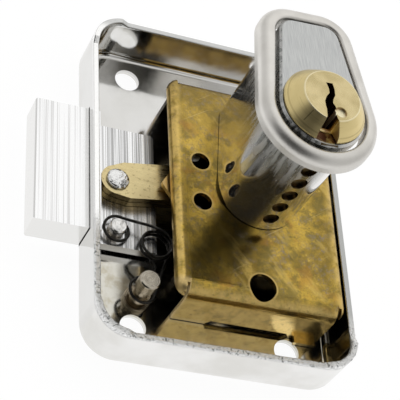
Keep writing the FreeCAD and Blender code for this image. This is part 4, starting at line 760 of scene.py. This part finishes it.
def black_wire():
    """Blackened, oiled spring wire with brighter rubbed stretches."""
    finish = Finish("black_wire", paint("wire black"), 1.0, 0.3)
    rub = finish.noise(0.7, 4.0, 0.6)
    base = finish.two_tone(rub, 0.55, 0.8, "oiled black", "rubbed black")
    return finish.surface(base, finish.step(rub, 0.2, 0.8, 0.22, 0.4), finish.bump(rub, 0.02, 0.4))


def add_object(name, data):
    made = bpy.data.objects.new(name, data)
    bpy.context.collection.objects.link(made)
    return made


def mesh_object(name, points, faces, smooth):
    mesh = bpy.data.meshes.new(name)
    mesh.from_pydata(points.tolist(), [], faces)
    mesh.polygons.foreach_set("use_smooth", [smooth] * len(mesh.polygons))
    mesh.update()
    return add_object(name, mesh)


def tube(name, path, radius, sides=TUBE_SIDES):
    """A closed round tube along a path.

    Each ring is path + radius * (cos a * side + sin a * over), with side and over
    across the path's heading; the first and last rings are closed by a fan.
    """
    heading = np.gradient(path, axis=0)
    heading /= np.linalg.norm(heading, axis=1)[:, None]
    over = np.zeros_like(path)
    over[:, 2] = 1.0
    side = np.cross(heading, over)
    side /= np.linalg.norm(side, axis=1)[:, None]
    over = np.cross(side, heading)
    angle = np.linspace(0, FULL_TURN, sides, endpoint=False)
    rings = (path[:, None, :] + radius * (np.cos(angle)[None, :, None] * side[:, None, :]
                                          + np.sin(angle)[None, :, None] * over[:, None, :]))
    count = len(path)
    points = np.vstack([rings.reshape(-1, 3), path[:1], path[-1:]])
    ring, spoke = np.meshgrid(np.arange(count - 1), np.arange(sides), indexing="ij")
    after = (spoke + 1) % sides
    walls = np.stack([ring * sides + spoke, (ring + 1) * sides + spoke,
                      (ring + 1) * sides + after, ring * sides + after], axis=-1).reshape(-1, 4)
    here = np.arange(sides)
    beyond = (here + 1) % sides
    first_middle, last_middle = count * sides, count * sides + 1
    last_ring = (count - 1) * sides
    first = np.stack([np.full(sides, first_middle), here, beyond], axis=-1)
    last = np.stack([np.full(sides, last_middle), last_ring + beyond, last_ring + here], axis=-1)
    return mesh_object(name, points, walls.tolist() + first.tolist() + last.tolist(), smooth=True)


def leaving_angle(spot, radius, other, other_radius):
    """Where the belt line to another circle leaves a circle: atan2(run) + acos(radii apart / run)."""
    run = other - spot
    return math.atan2(run[1], run[0]) + math.acos((radius - other_radius) / np.hypot(*run))


def helix(spot, radius, start, stop, low, high):
    """A circle about the spot whose height goes evenly from low to high with the angle."""
    share = np.linspace(0.0, 1.0, HELIX_LEAST_POINTS + int(abs(start - stop) * HELIX_POINTS_PER_RADIAN))
    angle = start + (stop - start) * share
    return np.stack([spot[0] + radius * np.cos(angle), spot[1] + radius * np.sin(angle),
                     low + (high - low) * share], axis=-1)


def arm(start, stop, climb_in, climb_out):
    """A line from start to stop that takes up and hands on the climb of the turns beside it.

    With s from 0 to 1, the height is start + rise * s^2 (3 - 2s)
    + length * (climb_in * (s - 2s^2 + s^3) + climb_out * (s^3 - s^2)).
    """
    share = np.linspace(0.0, 1.0, ARM_POINTS)[1:-1, None]
    length = np.linalg.norm((stop - start)[:2])
    line = start + (stop - start) * share
    rise = stop[2] - start[2]
    smooth = share ** 2 * (3 - 2 * share)
    enter = climb_in * length * (share - 2 * share ** 2 + share ** 3)
    leave = climb_out * length * (share ** 3 - share ** 2)
    line[:, 2] = start[2] + (rise * smooth + (enter + leave))[:, 0]
    return line


def toggle_spring_path():
    """Centre line of the toggle spring, in metres.

    Round the pin, the coil and the post it is a helix that always turns clockwise. The belt
    line between two of them touches both circles, and its height goes smoothly from one to
    the other.
    """
    pin, coil, post = np.array(PIN), np.array(COIL), np.array(POST)
    leave_pin = leaving_angle(pin, EYE_RADIUS, coil, COIL_RADIUS)
    leave_coil = leaving_angle(coil, COIL_RADIUS, post, EYE_RADIUS)
    while leave_coil > leave_pin:
        leave_coil -= FULL_TURN
    leave_coil -= FULL_TURN * COIL_TURNS
    coil_turns = (leave_pin - leave_coil) / FULL_TURN
    round_pin = helix(pin, EYE_RADIUS, leave_pin + FULL_TURN * PIN_EYE_TURNS, leave_pin,
                      PIN_EYE_HEIGHT - PITCH * PIN_EYE_TURNS, PIN_EYE_HEIGHT)
    round_coil = helix(coil, COIL_RADIUS, leave_pin, leave_coil,
                       COIL_TOP, COIL_TOP - PITCH * coil_turns)
    round_post = helix(post, EYE_RADIUS, leave_coil, leave_coil - FULL_TURN * POST_EYE_TURNS,
                       POST_EYE_HEIGHT, POST_EYE_HEIGHT + PITCH * POST_EYE_TURNS)
    eye_climb = PITCH / FULL_TURN / EYE_RADIUS
    coil_climb = -PITCH / FULL_TURN / COIL_RADIUS
    first_arm = arm(round_pin[-1], round_coil[0], eye_climb, coil_climb)
    second_arm = arm(round_coil[-1], round_post[0], coil_climb, eye_climb)
    path = np.vstack([round_pin, first_arm, round_coil, second_arm, round_post])
    return path / MILLIMETRES_IN_METRE


def make_toggle_spring():
    spring = tube("toggle_spring_wire", toggle_spring_path(), WIRE_RADIUS / MILLIMETRES_IN_METRE)
    spring.data.materials.append(black_wire())
    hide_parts("toggle_spring")
    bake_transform(spring)


def dress_nodes():
    """Give every node of the frame its finish."""
    # The inner pieces are painted dark with the shade inside the lock.
    shaded_inner = plain_steel("plain_steel", "shaded inner steel", "dark shaded inner steel")
    brass = plug_brass()
    link = link_brass()
    cover = cover_brass()
    finishes = {
        "case": case_chrome(),
        "bolt_rest_strip": shaded_inner,
        "bolt": bolt_nickel(),
        "bolt_link_rivet": turned_steel("rivet_steel", RIVET, "rivet steel", 0.16,
                                        RIVET_BROWN_FROM, 0.5),
        "spring_pin": turned_steel("pin_steel", PIN, "pin steel", 0.2, PIN_BROWN_FROM, 0.25),
        "drive_link_lower": link,
        "drive_link_upper": link,
        "link_keeper": cover,
        "keeper_spacers": shaded_inner,
        "mechanism_cover": cover,
        "crank": shaded_inner,
        "crank_pin": shaded_inner,
        "plug_tail_bar": shaded_inner,
        "cylinder_barrel": barrel_chrome(),
        "plug": brass,
        "plug_clip": shaded_inner,
        "chamber_plugs": chamber_brass(),
        "key_pins": brass,
        "driver_pins": shaded_inner,
        "pin_springs": shaded_inner,
        "cylinder_screws": shaded_inner,
        "rosette": rosette_nickel(),
        "spring_post": turned_steel("post_steel", POST, "post steel", 0.24, POST_BROWN_FROM, 0.05),
        "spring_guard": plain_steel("guard_steel", "guard steel", "dark guard steel"),
        "toggle_spring": shaded_inner,
    }
    for name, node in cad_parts.items():
        node.data.materials.clear()
        node.data.materials.append(finishes[name])


def aimed(spot, target):
    """A place and turn that look from the spot at the target."""
    spot = Vector(spot)
    turn = (Vector(target) - spot).to_track_quat("-Z", "Y").to_matrix().to_4x4()
    return Matrix.Translation(spot) @ turn


def make_camera():
    camera = bpy.data.cameras.new("camera")
    camera.lens = CAMERA_LENS
    camera.sensor_width = SENSOR_WIDTH
    camera.clip_start = 0.01
    camera.clip_end = 10.0
    holder = add_object("camera", camera)
    holder.matrix_world = aimed(CAMERA_SPOT, CAMERA_TARGET) @ Matrix.Rotation(CAMERA_ROLL, 4, "Z")
    bpy.context.scene.camera = holder


def linked_math(tree, operation, first, second):
    made = tree.nodes.new("ShaderNodeMath")
    made.operation = operation
    tree.links.new(first, made.inputs[0])
    tree.links.new(second, made.inputs[1])
    return made.outputs[0]


def ray_kinds(tree, first, *others):
    """1 for a ray of any of the named kinds, 0 for all the rest."""
    path = tree.nodes.new("ShaderNodeLightPath")
    found = path.outputs[first]
    for kind in others:
        found = linked_math(tree, "MAXIMUM", found, path.outputs[kind])
    return found


def show_instead(tree, share, plain, shown, output):
    """End a tree in one shader, with another in its place by the share."""
    mix = tree.nodes.new("ShaderNodeMixShader")
    for socket, value in zip(mix.inputs, (share, plain.outputs[0], shown.outputs[0])):
        tree.links.new(value, socket)
    tree.links.new(mix.outputs[0], tree.nodes[output].inputs["Surface"])


def sky_part(tree, heading, nearness, levels):
    """A level of light that changes as a direction turns towards the heading."""
    place = tree.nodes.new("ShaderNodeTexCoord")
    toward = tree.nodes.new("ShaderNodeVectorMath")
    toward.operation = "DOT_PRODUCT"
    tree.links.new(place.outputs["Generated"], toward.inputs[0])
    toward.inputs[1].default_value = Vector(heading).normalized()
    fall = tree.nodes.new("ShaderNodeMapRange")
    fall.interpolation_type = "SMOOTHSTEP"
    for name, number in zip(RANGE_SOCKETS, nearness + levels):
        fall.inputs[name].default_value = number
    tree.links.new(toward.outputs["Value"], fall.inputs["Value"])
    return fall.outputs["Result"]


def make_world():
    """A soft sky with a bright and a dark side, which the camera sees as plain white."""
    world = bpy.data.worlds.new("studio")
    bpy.context.scene.world = world
    world.use_nodes = True
    tree = world.node_tree
    light = tree.nodes["Background"]
    light.inputs["Color"].default_value = paint("sky")
    shown = tree.nodes.new("ShaderNodeBackground")
    shown.inputs["Color"].default_value = paint("white")
    shown.inputs["Strength"].default_value = 1.0
    level = linked_math(tree, "MULTIPLY", sky_part(tree, *BRIGHT_SIDE), sky_part(tree, *DARK_SIDE))
    tree.links.new(level, light.inputs["Strength"])
    seen = ray_kinds(tree, "Is Camera Ray", "Is Transmission Ray")
    show_instead(tree, seen, light, shown, "World Output")


def make_floor():
    """A white floor that glows where the camera or a mirroring face sees it, with faint shadows."""
    corners = ((-1, -1, 0), (1, -1, 0), (1, 1, 0), (-1, 1, 0))
    points = np.array(corners) * FLOOR_REACH
    floor = mesh_object("floor", points, [[0, 1, 2, 3]], smooth=False)
    material = bpy.data.materials.new("floor_white")
    material.use_nodes = True
    tree = material.node_tree
    matte = tree.nodes["Principled BSDF"]
    matte.inputs["Base Color"].default_value = paint("floor paint")
    matte.inputs["Roughness"].default_value = 0.7
    matte.inputs["Specular IOR Level"].default_value = 0.0
    glow = tree.nodes.new("ShaderNodeEmission")
    glow.inputs["Strength"].default_value = FLOOR_GLOW
    seen = ray_kinds(tree, "Is Camera Ray", "Is Transmission Ray", "Is Glossy Ray")
    share = tree.nodes.new("ShaderNodeMath")
    share.operation = "MULTIPLY"
    share.inputs[1].default_value = FLOOR_GLOW_SHARE
    tree.links.new(seen, share.inputs[0])
    show_instead(tree, share.outputs[0], matte, glow, "Material Output")
    floor.data.materials.append(material)


def soft_box(name, spot, size, radiance):
    """A square lamp whose power gives it an even radiance: power = radiance * pi * area."""
    lamp = bpy.data.lights.new(name, "AREA")
    lamp.shape = "SQUARE"
    lamp.size = size
    lamp.energy = radiance * math.pi * size * size
    add_object(name, lamp).matrix_world = aimed(spot, LAMP_TARGET)


make_camera()
make_world()
make_floor()
for lamp_name, (lamp_spot, lamp_size, lamp_radiance) in LAMPS.items():
    soft_box(lamp_name, lamp_spot, lamp_size, lamp_radiance)
dress_nodes()
make_toggle_spring()

scene = bpy.context.scene
scene.view_settings.view_transform = "Standard"
